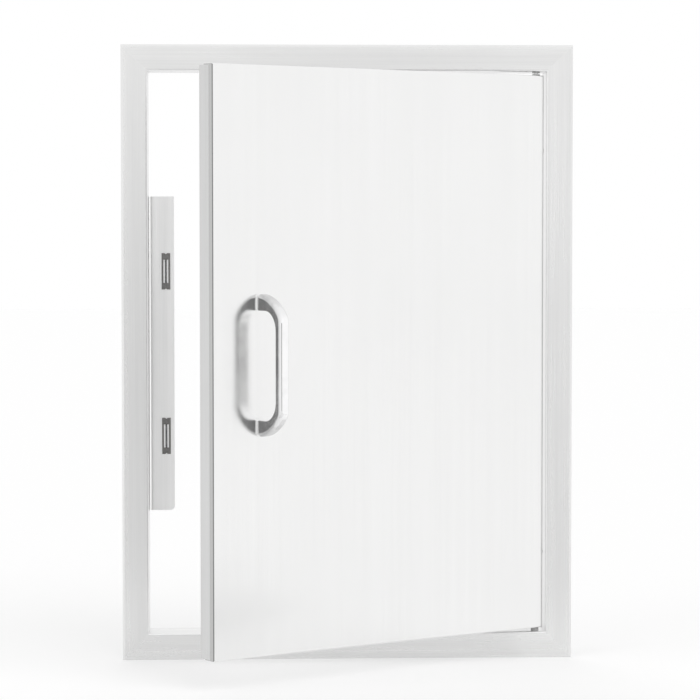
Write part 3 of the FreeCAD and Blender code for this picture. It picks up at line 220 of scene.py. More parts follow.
class StudioSizes(bpy.types.PropertyGroup):
    """Sizes of the studio round the door and of the weld beads on its frame."""

    bead_radius: bpy.props.FloatProperty(
        name="Weld bead", description="Radius of the weld beads at the frame's outer corners",
        unit="LENGTH", min=0.0004, max=0.003, default=0.0011)
    bead_start: bpy.props.FloatProperty(
        name="Bead start", description="How far behind the wall's face the weld beads begin",
        unit="LENGTH", min=0.0, max=0.02, default=0.003)
    bead_pitch: bpy.props.FloatProperty(
        name="Bead pitch", description="Distance between the ripples of a weld bead",
        unit="LENGTH", min=0.0005, max=0.005, default=0.0016)
    floor_width: bpy.props.FloatProperty(
        name="Floor", description="Width of the floor", unit="LENGTH", min=1, max=60, default=24.0)
    card_width: bpy.props.FloatProperty(
        name="Card width", description="Width of the grey card on the camera's side",
        unit="LENGTH", min=0.1, max=6, default=0.5)
    card_height: bpy.props.FloatProperty(
        name="Card height", description="Height of the grey card on the camera's side",
        unit="LENGTH", min=0.1, max=6, default=0.45)
    floor_glow: bpy.props.FloatProperty(
        name="Floor glow", description="Light that the floor shows on top of what falls on it",
        min=0, max=1, default=0.51)
    floor_sheen: bpy.props.FloatProperty(
        name="Floor sheen", description="The same light where the floor is mirrored in metal",
        min=0, max=1, default=0.51)
    lens: bpy.props.FloatProperty(
        name="Lens", description="Focal length in millimetres on a 36 mm sensor",
        min=10, max=400, default=140.24)


# Shared effects, as node groups.

def add_socket(tree, name, kind, default=None, is_output=False):
    """A named input or output of a group."""
    in_out = "OUTPUT" if is_output else "INPUT"
    made = tree.interface.new_socket(name=name, in_out=in_out, socket_type=kind)
    if default is not None:
        made.default_value = default


def new_group(name, inputs, outputs):
    """An empty shader node group with named sockets, and its two end nodes."""
    tree = bpy.data.node_groups.new(name, "ShaderNodeTree")
    for label, kind, default in inputs:
        add_socket(tree, label, kind, default)
    for label, kind in outputs:
        add_socket(tree, label, kind, is_output=True)
    return tree, tree.nodes.new("NodeGroupInput"), tree.nodes.new("NodeGroupOutput")


def feed(tree, value, target):
    """Gives a node's input a plain value, or links it to a socket."""
    if isinstance(value, bpy.types.NodeSocket):
        tree.links.new(value, target)
    else:
        target.default_value = value


def place_on_piece(tree):
    """The place on a piece, in its own axes."""
    return tree.nodes.new("ShaderNodeTexCoord").outputs["Object"]


def math_node(tree, operation, first, second=None, third=None, clamp=False):
    """The result of one operation on numbers."""
    node = tree.nodes.new("ShaderNodeMath")
    node.operation = operation
    node.use_clamp = clamp
    for place, value in enumerate((first, second, third)):
        if value is not None:
            feed(tree, value, node.inputs[place])
    return node.outputs[0]


def vector_node(tree, operation, first, second):
    """The result of one operation on two vectors."""
    node = tree.nodes.new("ShaderNodeVectorMath")
    node.operation = operation
    feed(tree, first, node.inputs[0])
    feed(tree, second, node.inputs[1])
    return node.outputs["Value" if operation == "DOT_PRODUCT" else "Vector"]


def noise_node(tree, vector, scale, detail=2.0, roughness=0.5):
    """Soft noise, from 0 to 1."""
    node = tree.nodes.new("ShaderNodeTexNoise")
    node.inputs["Detail"].default_value = detail
    node.inputs["Roughness"].default_value = roughness
    feed(tree, scale, node.inputs["Scale"])
    tree.links.new(vector, node.inputs["Vector"])
    return node.outputs["Fac"]


def spread(tree, value, low, high):
    """Stretches a value so that low becomes 0 and high becomes 1."""
    node = tree.nodes.new("ShaderNodeMapRange")
    feed(tree, low, node.inputs["From Min"])
    feed(tree, high, node.inputs["From Max"])
    tree.links.new(value, node.inputs["Value"])
    return node.outputs["Result"]


def between(tree, amount, low, high):
    """A value that runs from low to high as the mask runs from 0 to 1."""
    node = tree.nodes.new("ShaderNodeMapRange")
    node.inputs["To Min"].default_value = low
    node.inputs["To Max"].default_value = high
    tree.links.new(amount, node.inputs["Value"])
    return node.outputs["Result"]


def brushed_grain_group():
    """Long fine lines of a brushed sheet, with broader streaks and cloudy patches over them."""
    tree, start, end = new_group(
        "Brushed grain",
        [("Lines", "NodeSocketVector", GRAIN_ALONG_Z), ("Turn", "NodeSocketVector", (0.0, 0.0, 0.0))],
        [("Height", "NodeSocketFloat"), ("Streaks", "NodeSocketFloat"), ("Clouds", "NodeSocketFloat")])
    place = place_on_piece(tree)
    turned = tree.nodes.new("ShaderNodeVectorRotate")
    turned.rotation_type = "EULER_XYZ"
    tree.links.new(place, turned.inputs["Vector"])
    tree.links.new(start.outputs["Turn"], turned.inputs["Rotation"])
    stretched = vector_node(tree, "MULTIPLY", turned.outputs["Vector"], start.outputs["Lines"])
    fine = noise_node(tree, stretched, scale=1.0, detail=3.0, roughness=0.6)
    broad = noise_node(tree, stretched, scale=0.12, detail=2.0, roughness=0.55)
    clouds = noise_node(tree, place, scale=7.0, detail=2.0, roughness=0.5)

    broad_height = 0.5
    tree.links.new(math_node(tree, "MULTIPLY_ADD", broad, broad_height, fine), end.inputs["Height"])
    fine_share = 0.45
    broad_share = 0.55
    fine_part = math_node(tree, "MULTIPLY", fine, fine_share)
    both = math_node(tree, "MULTIPLY_ADD", broad, broad_share, fine_part)
    tree.links.new(spread(tree, both, low=0.32, high=0.68), end.inputs["Streaks"])
    tree.links.new(spread(tree, clouds, low=0.3, high=0.7), end.inputs["Clouds"])
    return tree


def worn_edge_group():
    """A mask that is 1 on sharp outer and inner edges, broken up by small nicks."""
    tree, start, end = new_group(
        "Worn edge", [("Reach", "NodeSocketFloat", 0.0008)], [("Mask", "NodeSocketFloat")])
    bevel = tree.nodes.new("ShaderNodeBevel")
    bevel.samples = 4
    tree.links.new(start.outputs["Reach"], bevel.inputs["Radius"])
    plain = tree.nodes.new("ShaderNodeNewGeometry")
    likeness = vector_node(tree, "DOT_PRODUCT", bevel.outputs["Normal"], plain.outputs["Normal"])
    edge_gain = 3.2
    edge = math_node(tree, "SUBTRACT", 1.0, likeness)
    edge = math_node(tree, "MULTIPLY", edge, edge_gain, clamp=True)
    nicks = noise_node(tree, place_on_piece(tree), scale=260.0, detail=3.0, roughness=0.6)
    nicks = spread(tree, nicks, low=0.35, high=0.65)
    tree.links.new(math_node(tree, "MULTIPLY", edge, nicks, clamp=True), end.inputs["Mask"])
    return tree


def facing_group():
    """Masks by the way that a piece faces, in its own axes: Front grows as it turns to face the
    given way, Sides as it faces that way or the opposite one, and Fold is 1 halfway round."""
    tree, start, end = new_group(
        "Facing",
        [("Way", "NodeSocketVector", (0.0, -1.0, 0.0)), ("From", "NodeSocketFloat", 0.8),
         ("To", "NodeSocketFloat", 0.99)],
        [("Front", "NodeSocketFloat"), ("Sides", "NodeSocketFloat"), ("Fold", "NodeSocketFloat")])
    normal = tree.nodes.new("ShaderNodeTexCoord").outputs["Normal"]
    front = vector_node(tree, "DOT_PRODUCT", normal, start.outputs["Way"])
    either = math_node(tree, "ABSOLUTE", front)
    for label, facing in (("Front", front), ("Sides", either)):
        mask = spread(tree, facing, start.outputs["From"], start.outputs["To"])
        tree.links.new(mask, end.inputs[label])

    # A share times what is left of 1 is a quarter at most, halfway.
    gain = 4.0
    turned = spread(tree, either, low=0.3, high=0.99)
    left_over = math_node(tree, "SUBTRACT", 1.0, turned)
    halfway = math_node(tree, "MULTIPLY", turned, left_over)
    tree.links.new(math_node(tree, "MULTIPLY", halfway, gain, clamp=True), end.inputs["Fold"])
    return tree


def handling_marks_group():
    """Soft smears and finger marks, as a mask. Density is how many go to a metre."""
    tree, start, end = new_group(
        "Handling marks", [("Density", "NodeSocketFloat", 26.0)], [("Mask", "NodeSocketFloat")])
    place = place_on_piece(tree)
    smear = noise_node(tree, place, start.outputs["Density"], detail=3.0, roughness=0.55)
    ridges_to_a_smear = 9.0
    ridge_share = 0.18
    ridges_in_a_metre = math_node(tree, "MULTIPLY", start.outputs["Density"], ridges_to_a_smear)
    ridge = noise_node(tree, place, ridges_in_a_metre, detail=2.0, roughness=0.5)
    mixed = math_node(tree, "MULTIPLY_ADD", ridge, ridge_share, smear)
    tree.links.new(spread(tree, mixed, low=0.56, high=0.78), end.inputs["Mask"])
    return tree


def fine_grit_group():
    """The fine pitted skin of moulded plastic, sintered ferrite or tumbled metal. Density is how
    many pits go to a metre."""
    tree, start, end = new_group(
        "Fine grit", [("Density", "NodeSocketFloat", 2600.0)],
        [("Height", "NodeSocketFloat"), ("Specks", "NodeSocketFloat")])
    place = place_on_piece(tree)
    grit = noise_node(tree, place, start.outputs["Density"], detail=2.0, roughness=0.6)
    specks_to_a_pit = 0.22
    specks_in_a_metre = math_node(tree, "MULTIPLY", start.outputs["Density"], specks_to_a_pit)
    specks = noise_node(tree, place, specks_in_a_metre, detail=2.0, roughness=0.5)
    tree.links.new(grit, end.inputs["Height"])
    tree.links.new(spread(tree, specks, low=0.35, high=0.65), end.inputs["Specks"])
    return tree


def spangle_group():
    """The crystal flakes of hot-dip zinc. Density is how many go to a metre."""
    tree, start, end = new_group(
        "Zinc spangle", [("Density", "NodeSocketFloat", 180.0)],
        [("Flake", "NodeSocketFloat"), ("Height", "NodeSocketFloat")])
    cells = tree.nodes.new("ShaderNodeTexVoronoi")
    tree.links.new(place_on_piece(tree), cells.inputs["Vector"])
    tree.links.new(start.outputs["Density"], cells.inputs["Scale"])
    split = tree.nodes.new("ShaderNodeSeparateColor")
    tree.links.new(cells.outputs["Color"], split.inputs["Color"])
    tree.links.new(split.outputs[0], end.inputs["Flake"])
    tree.links.new(cells.outputs["Distance"], end.inputs["Height"])
    return tree


def turned_rings_group():
    """Fine rings that a lathe tool leaves round an upright piece, so many to a metre."""
    tree, start, end = new_group(
        "Turned rings", [("Rings", "NodeSocketFloat", 3000.0)], [("Height", "NodeSocketFloat")])
    round_the_piece = (0.06, 0.06, 1.0)
    squeezed = vector_node(tree, "MULTIPLY", place_on_piece(tree), round_the_piece)
    rings = noise_node(tree, squeezed, start.outputs["Rings"], detail=2.0)
    tree.links.new(rings, end.inputs["Height"])
    return tree


def group_named(name):
    """The shared effect of that name, built the first time that it is asked for."""
    makers = {
        "Brushed grain": brushed_grain_group,
        "Worn edge": worn_edge_group,
        "Facing": facing_group,
        "Handling marks": handling_marks_group,
        "Fine grit": fine_grit_group,
        "Zinc spangle": spangle_group,
        "Turned rings": turned_rings_group,
    }
    return bpy.data.node_groups.get(name) or makers[name]()


# Materials.

def add_effect(material, name, **values):
    """Places a shared effect in a material, with values of its own."""
    node = material.node_tree.nodes.new("ShaderNodeGroup")
    node.node_tree = group_named(name)
    for label, value in values.items():
        node.inputs[label].default_value = value
    return node


def new_material(name, metallic=0.0):
    """A material with a Principled shader, and that shader."""
    material = bpy.data.materials.new(name)
    material.use_nodes = True
    shader = material.node_tree.nodes["Principled BSDF"]
    shader.inputs["Metallic"].default_value = metallic
    return material, shader


def blended(tree, amount, low, high):
    """A mix of two colours, plain or from sockets, by a mask."""
    node = tree.nodes.new("ShaderNodeMix")
    node.data_type = "RGBA"
    for label, colour in (("A", low), ("B", high)):
        if isinstance(colour, bpy.types.NodeSocket):
            tree.links.new(colour, node.inputs[label])
        else:
            node.inputs[label].default_value = (*colour, 1.0)
    tree.links.new(amount, node.inputs["Factor"])
    return node.outputs["Result"]


def shade(colour, by):
    """A colour made lighter or darker, and kept within 0 and 1."""
    return tuple(min(1.0, max(0.0, part * by)) for part in colour)


def rub_edges(material, tint, rubbed, reach):
    """The tint, with the piece's edges rubbed to another colour."""
    worn = add_effect(material, "Worn edge", Reach=reach)
    return blended(material.node_tree, worn.outputs["Mask"], tint, rubbed)


def add_bump(tree, shader, height, strength, distance):
    """Makes the surface look as uneven as the height, up to the distance."""
    node = tree.nodes.new("ShaderNodeBump")
    node.inputs["Strength"].default_value = strength
    node.inputs["Distance"].default_value = distance
    tree.links.new(height, node.inputs["Height"])
    tree.links.new(node.outputs["Normal"], shader.inputs["Normal"])


def brushed_steel(name, colour, lines, turn=(0.0, 0.0, 0.0), rough=(0.2, 0.32), contrast=0.05,
                  depth=0.00002, marks=0.04, edge=1.08):
    """Brushed sheet: grain lines in colour, gloss and height, faint marks, and rubbed edges."""
    material, shader = new_material(name, metallic=1.0)
    tree = material.node_tree
    grain = add_effect(material, "Brushed grain", Lines=lines, Turn=turn)
    streaks = grain.outputs["Streaks"]
    tint = blended(tree, streaks, shade(colour, by=1 - contrast), shade(colour, by=1 + contrast))
    clouds = between(tree, grain.outputs["Clouds"], low=0.0, high=0.45)
    tint = blended(tree, clouds, tint, shade(colour, by=0.97))
    tint = rub_edges(material, tint, shade(colour, by=edge), reach=0.0009)
    tree.links.new(tint, shader.inputs["Base Color"])
    smears = add_effect(material, "Handling marks", Density=9.0)
    roughness = between(tree, streaks, low=rough[1], high=rough[0])
    roughness = math_node(tree, "MULTIPLY_ADD", smears.outputs["Mask"], marks, roughness)
    tree.links.new(roughness, shader.inputs["Roughness"])
    add_bump(tree, shader, grain.outputs["Height"], strength=0.5, distance=depth)
    return material


def paint_light_on_bent_sheet(material, across, sides=None, fold=None, near_fold=None, painted_glint=None):
    """Paints light and shade on a bent sheet: colours on the sides that face across and on the
    folds, on all of them or on the near ones alone, which turn towards the given side, and a
    painted glow along the folds."""
    tree = material.node_tree
    shader = tree.nodes["Principled BSDF"]
    facing = add_effect(material, "Facing", Way=across)
    folds = facing.outputs["Fold"]
    painted_tints = [(facing.outputs["Sides"], sides), (folds, fold)]
    if near_fold is not None:
        near = add_effect(material, "Facing", Way=across, From=-0.1, To=0.1)
        painted_tints.append((math_node(tree, "MULTIPLY", folds, near.outputs["Front"]), near_fold))
    for mask, colour in painted_tints:
        if colour is not None:
            flat = shader.inputs["Base Color"].links[0].from_socket
            tree.links.new(blended(tree, mask, flat, colour), shader.inputs["Base Color"])
    # The glint is a painted highlight: the folds glow, though they are no lamp.
    if painted_glint is not None:
        lit = blended(tree, folds, (0.0, 0.0, 0.0), painted_glint)
        tree.links.new(lit, shader.inputs["Emission Color"])
        shader.inputs["Emission Strength"].default_value = 1.0


def polished_chrome(name, colour, sides, way):
    """Polished plate with a faint ripple, soft finger marks and worn edges. Light and shade are
    painted into its colour: a painted highlight where it faces the given way, in the hollow
    corners and round its feet, and painted shade on its sides."""
    material, shader = new_material(name, metallic=1.0)
    tree = material.node_tree
    facing = add_effect(material, "Facing", Way=way, From=0.1, To=0.95)
    level = add_effect(material, "Facing", Way=UP, From=0.12, To=0.5)
    behind = add_effect(material, "Facing", Way=tuple(-part for part in way), From=-0.1, To=0.1)
    # Painted highlight: the full front colour where the plate faces up, down or half round, away from
    # the front.
    hollow_highlight = math_node(tree, "MAXIMUM", level.outputs["Sides"], facing.outputs["Fold"])
    hollow_highlight = math_node(tree, "MULTIPLY", hollow_highlight, behind.outputs["Front"])
    smears = add_effect(material, "Handling marks", Density=60.0).outputs["Mask"]
    # Painted shade: the sides take the darker colour and the front the bright one.
    tint = blended(tree, facing.outputs["Front"], sides, colour)
    tint = blended(tree, hollow_highlight, tint, colour)
    tint = blended(tree, between(tree, smears, low=0.0, high=0.5), tint, shade(colour, by=0.9))
    tint = rub_edges(material, tint, shade(colour, by=1.04), reach=0.0007)
    tree.links.new(tint, shader.inputs["Base Color"])
    tree.links.new(between(tree, smears, low=0.05, high=0.12), shader.inputs["Roughness"])
    ripple = add_effect(material, "Fine grit", Density=160.0)
    add_bump(tree, shader, ripple.outputs["Height"], strength=0.05, distance=0.0002)
    return material


def galvanised_steel(name, colour):
    """Hot-dip zinc with its spangle."""
    material, shader = new_material(name, metallic=1.0)
    tree = material.node_tree
    spangle = add_effect(material, "Zinc spangle", Density=190.0)
    smears = add_effect(material, "Handling marks", Density=30.0)
    flakes = spangle.outputs["Flake"]
    tint = blended(tree, flakes, shade(colour, by=0.84), shade(colour, by=1.14))
    tree.links.new(tint, shader.inputs["Base Color"])
    marks = 0.1
    roughness = between(tree, flakes, low=0.34, high=0.5)
    roughness = math_node(tree, "MULTIPLY_ADD", smears.outputs["Mask"], marks, roughness)
    tree.links.new(roughness, shader.inputs["Roughness"])
    add_bump(tree, shader, spangle.outputs["Height"], strength=0.1, distance=0.0001)
    return material


def turned_steel(name, colour, rings=3000.0, rough=(0.18, 0.32)):
    """Bright turned or drawn steel with fine rings."""
    material, shader = new_material(name, metallic=1.0)
    tree = material.node_tree
    tool = add_effect(material, "Turned rings", Rings=rings)
    grit = add_effect(material, "Fine grit", Density=1500.0)
    tint = blended(tree, grit.outputs["Specks"], shade(colour, by=0.92), shade(colour, by=1.06))
    tint = rub_edges(material, tint, shade(colour, by=1.2), reach=0.0003)
    tree.links.new(tint, shader.inputs["Base Color"])
    tree.links.new(between(tree, tool.outputs["Height"], *rough), shader.inputs["Roughness"])
    add_bump(tree, shader, tool.outputs["Height"], strength=0.3, distance=0.00003)
    return material


def moulded_plastic(name, colour, rough=(0.42, 0.6), rub=1.7):
    """Moulded plastic: a fine pitted skin, faint colour variation and edges rubbed lighter."""
    material, shader = new_material(name)
    tree = material.node_tree
    grit = add_effect(material, "Fine grit", Density=2600.0)
    smears = add_effect(material, "Handling marks", Density=90.0)
    tint = blended(tree, grit.outputs["Specks"], shade(colour, by=0.86), shade(colour, by=1.12))
    tint = rub_edges(material, tint, shade(colour, by=rub), reach=0.0004)
    tree.links.new(tint, shader.inputs["Base Color"])
    roughness = between(tree, smears.outputs["Mask"], low=rough[1], high=rough[0])
    tree.links.new(roughness, shader.inputs["Roughness"])
    add_bump(tree, shader, grit.outputs["Height"], strength=0.25, distance=0.00004)
    return material


def sintered_ferrite(name, colour):
    """Dull dark ferrite with bright specks."""
    material, shader = new_material(name, metallic=0.6)
    tree = material.node_tree
    grit = add_effect(material, "Fine grit", Density=4200.0)
    specks = grit.outputs["Specks"]
    tint = blended(tree, specks, shade(colour, by=0.7), shade(colour, by=1.9))
    tree.links.new(tint, shader.inputs["Base Color"])
    tree.links.new(between(tree, specks, low=0.5, high=0.75), shader.inputs["Roughness"])
    add_bump(tree, shader, grit.outputs["Height"], strength=0.4, distance=0.00006)
    return material


def dress(material, *names):
    """Gives CAD nodes a material in place of their own."""
    for name in names:
        piece = frame["nodes"][name]
        if not piece.material_slots:
            piece.data.materials.append(material)
        for slot in piece.material_slots:
            slot.link = "OBJECT"
            slot.material = material


# Mesh code.

def link_mesh(name, build):
    """A new piece from a function that fills a bmesh."""
    shape = bmesh.new()
    build(shape)
    bmesh.ops.recalc_face_normals(shape, faces=shape.faces)
    mesh = bpy.data.meshes.new(name)
    shape.to_mesh(mesh)
    shape.free()
    mesh.polygons.foreach_set("use_smooth", [True] * len(mesh.polygons))
    piece = bpy.data.objects.new(name, mesh)
    bpy.context.scene.collection.objects.link(piece)
    return piece


def bead_swell(share, reach, pitch):
    """How far a weld bead swells at a share of its run: by its ripples, the welder's hand and its
    rounded ends."""
    phase = reach / pitch % 1.0
    ripple = BEAD_VALLEY + BEAD_CREST * math.sqrt(max(0.0, 1 - (2 * phase - 1) ** 2))
    wander = 1 + sum(part * math.sin(reach * often + shift) for part, often, shift in BEAD_WANDER)
    ends = min(1.0, BEAD_GROWTH * share + BEAD_END, BEAD_GROWTH * (1 - share) + BEAD_END)
    return ripple * wander * ends


def weld_bead(shape, start, end, outward, radius, pitch):
    """A rippled bead from start to end. Each ripple leans back over the one before."""
    run = end - start
    along = run.normalized()
    side = along.cross(outward).normalized()
    rows = max(BEAD_LEAST_ROWS, int(run.length / pitch * BEAD_ROWS_TO_A_RIPPLE))
    rings = []
    for row in range(rows + 1):
        share = row / rows
        size = radius * bead_swell(share, share * run.length, pitch)
        ring = []
        for step in range(BEAD_SIDES):
            turn = 2 * math.pi * step / BEAD_SIDES
            rise = outward * (size * BEAD_HEIGHT * math.cos(turn))
            width = side * (size * math.sin(turn))
            lean = along * (-BEAD_LEAN * size * math.cos(turn))
            ring.append(shape.verts.new(start + run * share + rise + width + lean))
        rings.append(ring)
    for first, second in zip(rings, rings[1:]):
        for step in range(BEAD_SIDES):
            following = (step + 1) % BEAD_SIDES
            shape.faces.new((first[step], first[following], second[following], second[step]))
    shape.faces.new(rings[0])
    shape.faces.new(list(reversed(rings[-1])))


def wall_corner():
    """The rear upper right corner of the return walls' outsides, from the left stile's mesh."""
    stile = frame["nodes"]["frame_left_stile"]
    spots = [stile.matrix_world @ vertex.co for vertex in stile.data.vertices]
    depth = max(spot.y for spot in spots)
    rear = [spot for spot in spots if spot.y > depth - SAME_PLACE]
    return Vector((max(abs(spot.x) for spot in rear), depth, max(abs(spot.z) for spot in rear)))


# Operators, one for each piece or group of like pieces.

class ACCESSDOOR_OT_frame(bpy.types.Operator):
    """Finishes the frame's four mitred members, each brushed along its length"""

    bl_idname = "accessdoor.frame"
    bl_label = "Frame members"

    def execute(self, context):
        finishes = context.scene.door_finishes
        for member, (lines, inwards) in MEMBERS.items():
            label = member.replace("_", " ").capitalize()
            steel = brushed_steel(f"{label} steel", finishes.frame_steel, lines, rough=(0.24, 0.34))
            # Painted highlight on the folds that turn towards the opening.
            paint_light_on_bent_sheet(steel, inwards, near_fold=finishes.frame_fold_highlight)
            dress(steel, f"frame_{member}")
        return {"FINISHED"}


class ACCESSDOOR_OT_welds(bpy.types.Operator):
    """Lays a weld bead along each outer corner of the return walls"""

    bl_idname = "accessdoor.welds"
    bl_label = "Corner welds"

    def execute(self, context):
        studio = context.scene.door_studio
        colour = context.scene.door_finishes.turned_steel
        steel = turned_steel("Weld steel", colour, rings=900.0, rough=(0.3, 0.5))
        corner = wall_corner()
        for side, across in (("left", -1), ("right", 1)):
            for end, up in (("lower", -1), ("upper", 1)):
                outward = Vector((across, 0, up)).normalized()
                start = Vector((across * corner.x, studio.bead_start, up * corner.z))
                stop = Vector((start.x, corner.y - studio.bead_radius, start.z))
                bead = link_mesh(f"{end}_{side}_weld", lambda shape: weld_bead(
                    shape, start, stop, outward, studio.bead_radius, studio.bead_pitch))
                bead.data.materials.append(steel)
                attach(bead, "frame")
        return {"FINISHED"}


class ACCESSDOOR_OT_strike_bracket(bpy.types.Operator):
    """Finishes the angle bracket for the catches and its rivets"""

    bl_idname = "accessdoor.strike_bracket"
    bl_label = "Strike bracket"

    def execute(self, context):
        finishes = context.scene.door_finishes
        sheet = brushed_steel("Bracket steel", finishes.bracket_steel, GRAIN_ALONG_Z, rough=(0.3, 0.42))
        # Painted highlight on the bracket's leg, and a painted glow along its bend.
        paint_light_on_bent_sheet(sheet, RIGHT, sides=finishes.bracket_leg_highlight, painted_glint=finishes.bracket_painted_glint)
        dress(sheet, "strike_bracket")
        rivets = turned_steel("Rivet aluminium", finishes.rivet, rings=1200.0, rough=(0.3, 0.45))
        dress(rivets, "bracket_rivets", "strike_rivets")
        return {"FINISHED"}


class ACCESSDOOR_OT_catches(bpy.types.Operator):
    """Finishes the two magnetic catches: cases, pole plates and magnets"""

    bl_idname = "accessdoor.catches"
    bl_label = "Magnetic catches"

    def execute(self, context):
        finishes = context.scene.door_finishes
        plastic = moulded_plastic("Catch plastic", finishes.catch)
        dress(plastic, "upper_catch_case", "lower_catch_case")
        poles = brushed_steel("Pole plate steel", finishes.plate, GRAIN_ALONG_Z, rough=(0.4, 0.55))
        dress(poles, "upper_catch_poles", "lower_catch_poles")
        ferrite = sintered_ferrite("Magnet ferrite", finishes.ferrite)
        dress(ferrite, "upper_catch_magnet", "lower_catch_magnet")
        return {"FINISHED"}


class ACCESSDOOR_OT_door_skins(bpy.types.Operator):
    """Finishes the door's front skin and the pan behind it"""

    bl_idname = "accessdoor.door_skins"
    bl_label = "Door skins"

    def execute(self, context):
        finishes = context.scene.door_finishes
        turn = (0.0, 0.0, DOOR_ANGLE)
        front = brushed_steel("Front skin steel", finishes.door_steel, GRAIN_ALONG_Z, turn,
                              rough=(0.14, 0.2), contrast=0.012, depth=0.00001, edge=0.8)
        # Painted shade on the skin's folded-back lip and a painted dark line on its upright folds.
        paint_light_on_bent_sheet(front, ALONG_DOOR, sides=finishes.door_lip_shade, fold=finishes.door_fold_shade)
        dress(front, "door_front_skin")
        pan = brushed_steel("Liner steel", finishes.liner_steel, GRAIN_ALONG_Z, turn, rough=(0.26, 0.36))
        dress(pan, "door_liner")
        return {"FINISHED"}


class ACCESSDOOR_OT_handle(bpy.types.Operator):
    """Finishes the bow handle in polished plate"""

    bl_idname = "accessdoor.handle"
    bl_label = "Pull handle"

    def execute(self, context):
        finishes = context.scene.door_finishes
        # Painted light and shade: brightest on the front and in the hollow corners, darker on the sides.
        plate = polished_chrome("Handle chrome", finishes.chrome, finishes.chrome_side_shade, OUT_OF_DOOR)
        dress(plate, "pull_handle")
        return {"FINISHED"}


class ACCESSDOOR_OT_handle_fixings(bpy.types.Operator):
    """Finishes what holds the handle: plate, washers, screws and the plugs over them"""

    bl_idname = "accessdoor.handle_fixings"
    bl_label = "Handle fixings"

    def execute(self, context):
        finishes = context.scene.door_finishes
        zinc = galvanised_steel("Galvanised steel", finishes.zinc)
        dress(zinc, "handle_stiffener", "door_channel", "pin_bracket")
        steel = turned_steel("Screw steel", finishes.turned_steel)
        dress(steel, "handle_screws", "handle_washers")
        plastic = moulded_plastic("Plug plastic", finishes.plug, rub=1.3)
        dress(plastic, "liner_plugs")
        return {"FINISHED"}


class ACCESSDOOR_OT_pivots(bpy.types.Operator):
    """Finishes both pivots: pins, bushes, clips, spring, block and washer"""

    bl_idname = "accessdoor.pivots"
    bl_label = "Pivots"

    def execute(self, context):
        finishes = context.scene.door_finishes
        colour = finishes.turned_steel
        pins = turned_steel("Pin steel", colour)
        dress(pins, "upper_pivot_pin", "lower_pivot_pin", "pin_clips")
        wire = turned_steel("Spring wire", colour, rings=700.0, rough=(0.22, 0.4))
        dress(wire, "pin_spring")
        block = brushed_steel("Pivot block steel", colour, GRAIN_ALONG_Z, rough=(0.25, 0.4))
        dress(block, "lower_pivot_block")
        nylon = moulded_plastic("Bush nylon", finishes.bush, rough=(0.3, 0.45))
        dress(nylon, "upper_frame_bush", "lower_frame_bush", "door_pin_bush", "lower_thrust_washer")
        return {"FINISHED"}


class ACCESSDOOR_OT_knob(bpy.types.Operator):
    """Finishes the knob that pulls the upper pin down"""

    bl_idname = "accessdoor.knob"
    bl_label = "Release knob"

    def execute(self, context):
        dress(moulded_plastic("Knob plastic", context.scene.door_finishes.knob), "release_knob")
        return {"FINISHED"}


class ACCESSDOOR_OT_strike_plates(bpy.types.Operator):
    """Finishes the plates on the door's back that the catches hold"""

    bl_idname = "accessdoor.strike_plates"
    bl_label = "Strike plates"

    def execute(self, context):
        colour = context.scene.door_finishes.plate
        plate = brushed_steel("Strike plate steel", colour, GRAIN_ALONG_Z, rough=(0.22, 0.34),
                              contrast=0.09)
        dress(plate, "upper_strike_plate", "lower_strike_plate")
        return {"FINISHED"}


# The studio.

def plane(name, width, height, place, normal):
    """A flat sheet of one face, for the studio."""
    right, top = width / 2, height / 2
    corners = [(-right, -top, 0), (right, -top, 0), (right, top, 0), (-right, top, 0)]
    mesh = bpy.data.meshes.new(name)
    mesh.from_pydata(corners, [], [(0, 1, 2, 3)])
    piece = bpy.data.objects.new(name, mesh)
    bpy.context.scene.collection.objects.link(piece)
    turned = Vector(normal).to_track_quat("Z", "Y").to_matrix().to_4x4()
    piece.matrix_world = Matrix.Translation(place) @ turned
    return piece


def mirrored_rays(rays):
    """1 for glossy and transmission rays, and 0 for others."""
    tree = rays.id_data
    return math_node(
        tree, "MAXIMUM", rays.outputs["Is Glossy Ray"], rays.outputs["Is Transmission Ray"])


def white_background(scene):
    """A white world that looks brighter, to the camera and in metal, than it shines."""
    world = bpy.data.worlds.new("White studio")
    scene.world = world
    world.use_nodes = True
    tree = world.node_tree
    rays = tree.nodes.new("ShaderNodeLightPath")
    seen = math_node(tree, "MAXIMUM", rays.outputs["Is Camera Ray"], mirrored_rays(rays))
    background = tree.nodes["Background"]
    background.inputs["Color"].default_value = (1.0, 1.0, 1.0, 1.0)
    strength = between(tree, seen, low=SKY_AS_LAMP, high=SKY_SEEN)
    tree.links.new(strength, background.inputs["Strength"])


def white_floor(studio, height):
    """A matt floor with a light of its own: its glow for the camera and its sheen in metal."""
    floor = plane("floor", studio.floor_width, studio.floor_width, (0, 0, height), UP)
    material, shader = new_material("White floor")
    tree = material.node_tree
    shader.inputs["Base Color"].default_value = (*FLOOR_COLOUR, 1.0)
    shader.inputs["Roughness"].default_value = FLOOR_ROUGHNESS
    shader.inputs["Specular IOR Level"].default_value = 0.0
    shader.inputs["Emission Color"].default_value = (1.0, 1.0, 1.0, 1.0)
    rays = tree.nodes.new("ShaderNodeLightPath")
    sheen = math_node(tree, "MULTIPLY", mirrored_rays(rays), studio.floor_sheen)
    glow = math_node(tree, "MULTIPLY_ADD", rays.outputs["Is Camera Ray"], studio.floor_glow, sheen)
    tree.links.new(glow, shader.inputs["Emission Strength"])
    floor.data.materials.append(material)


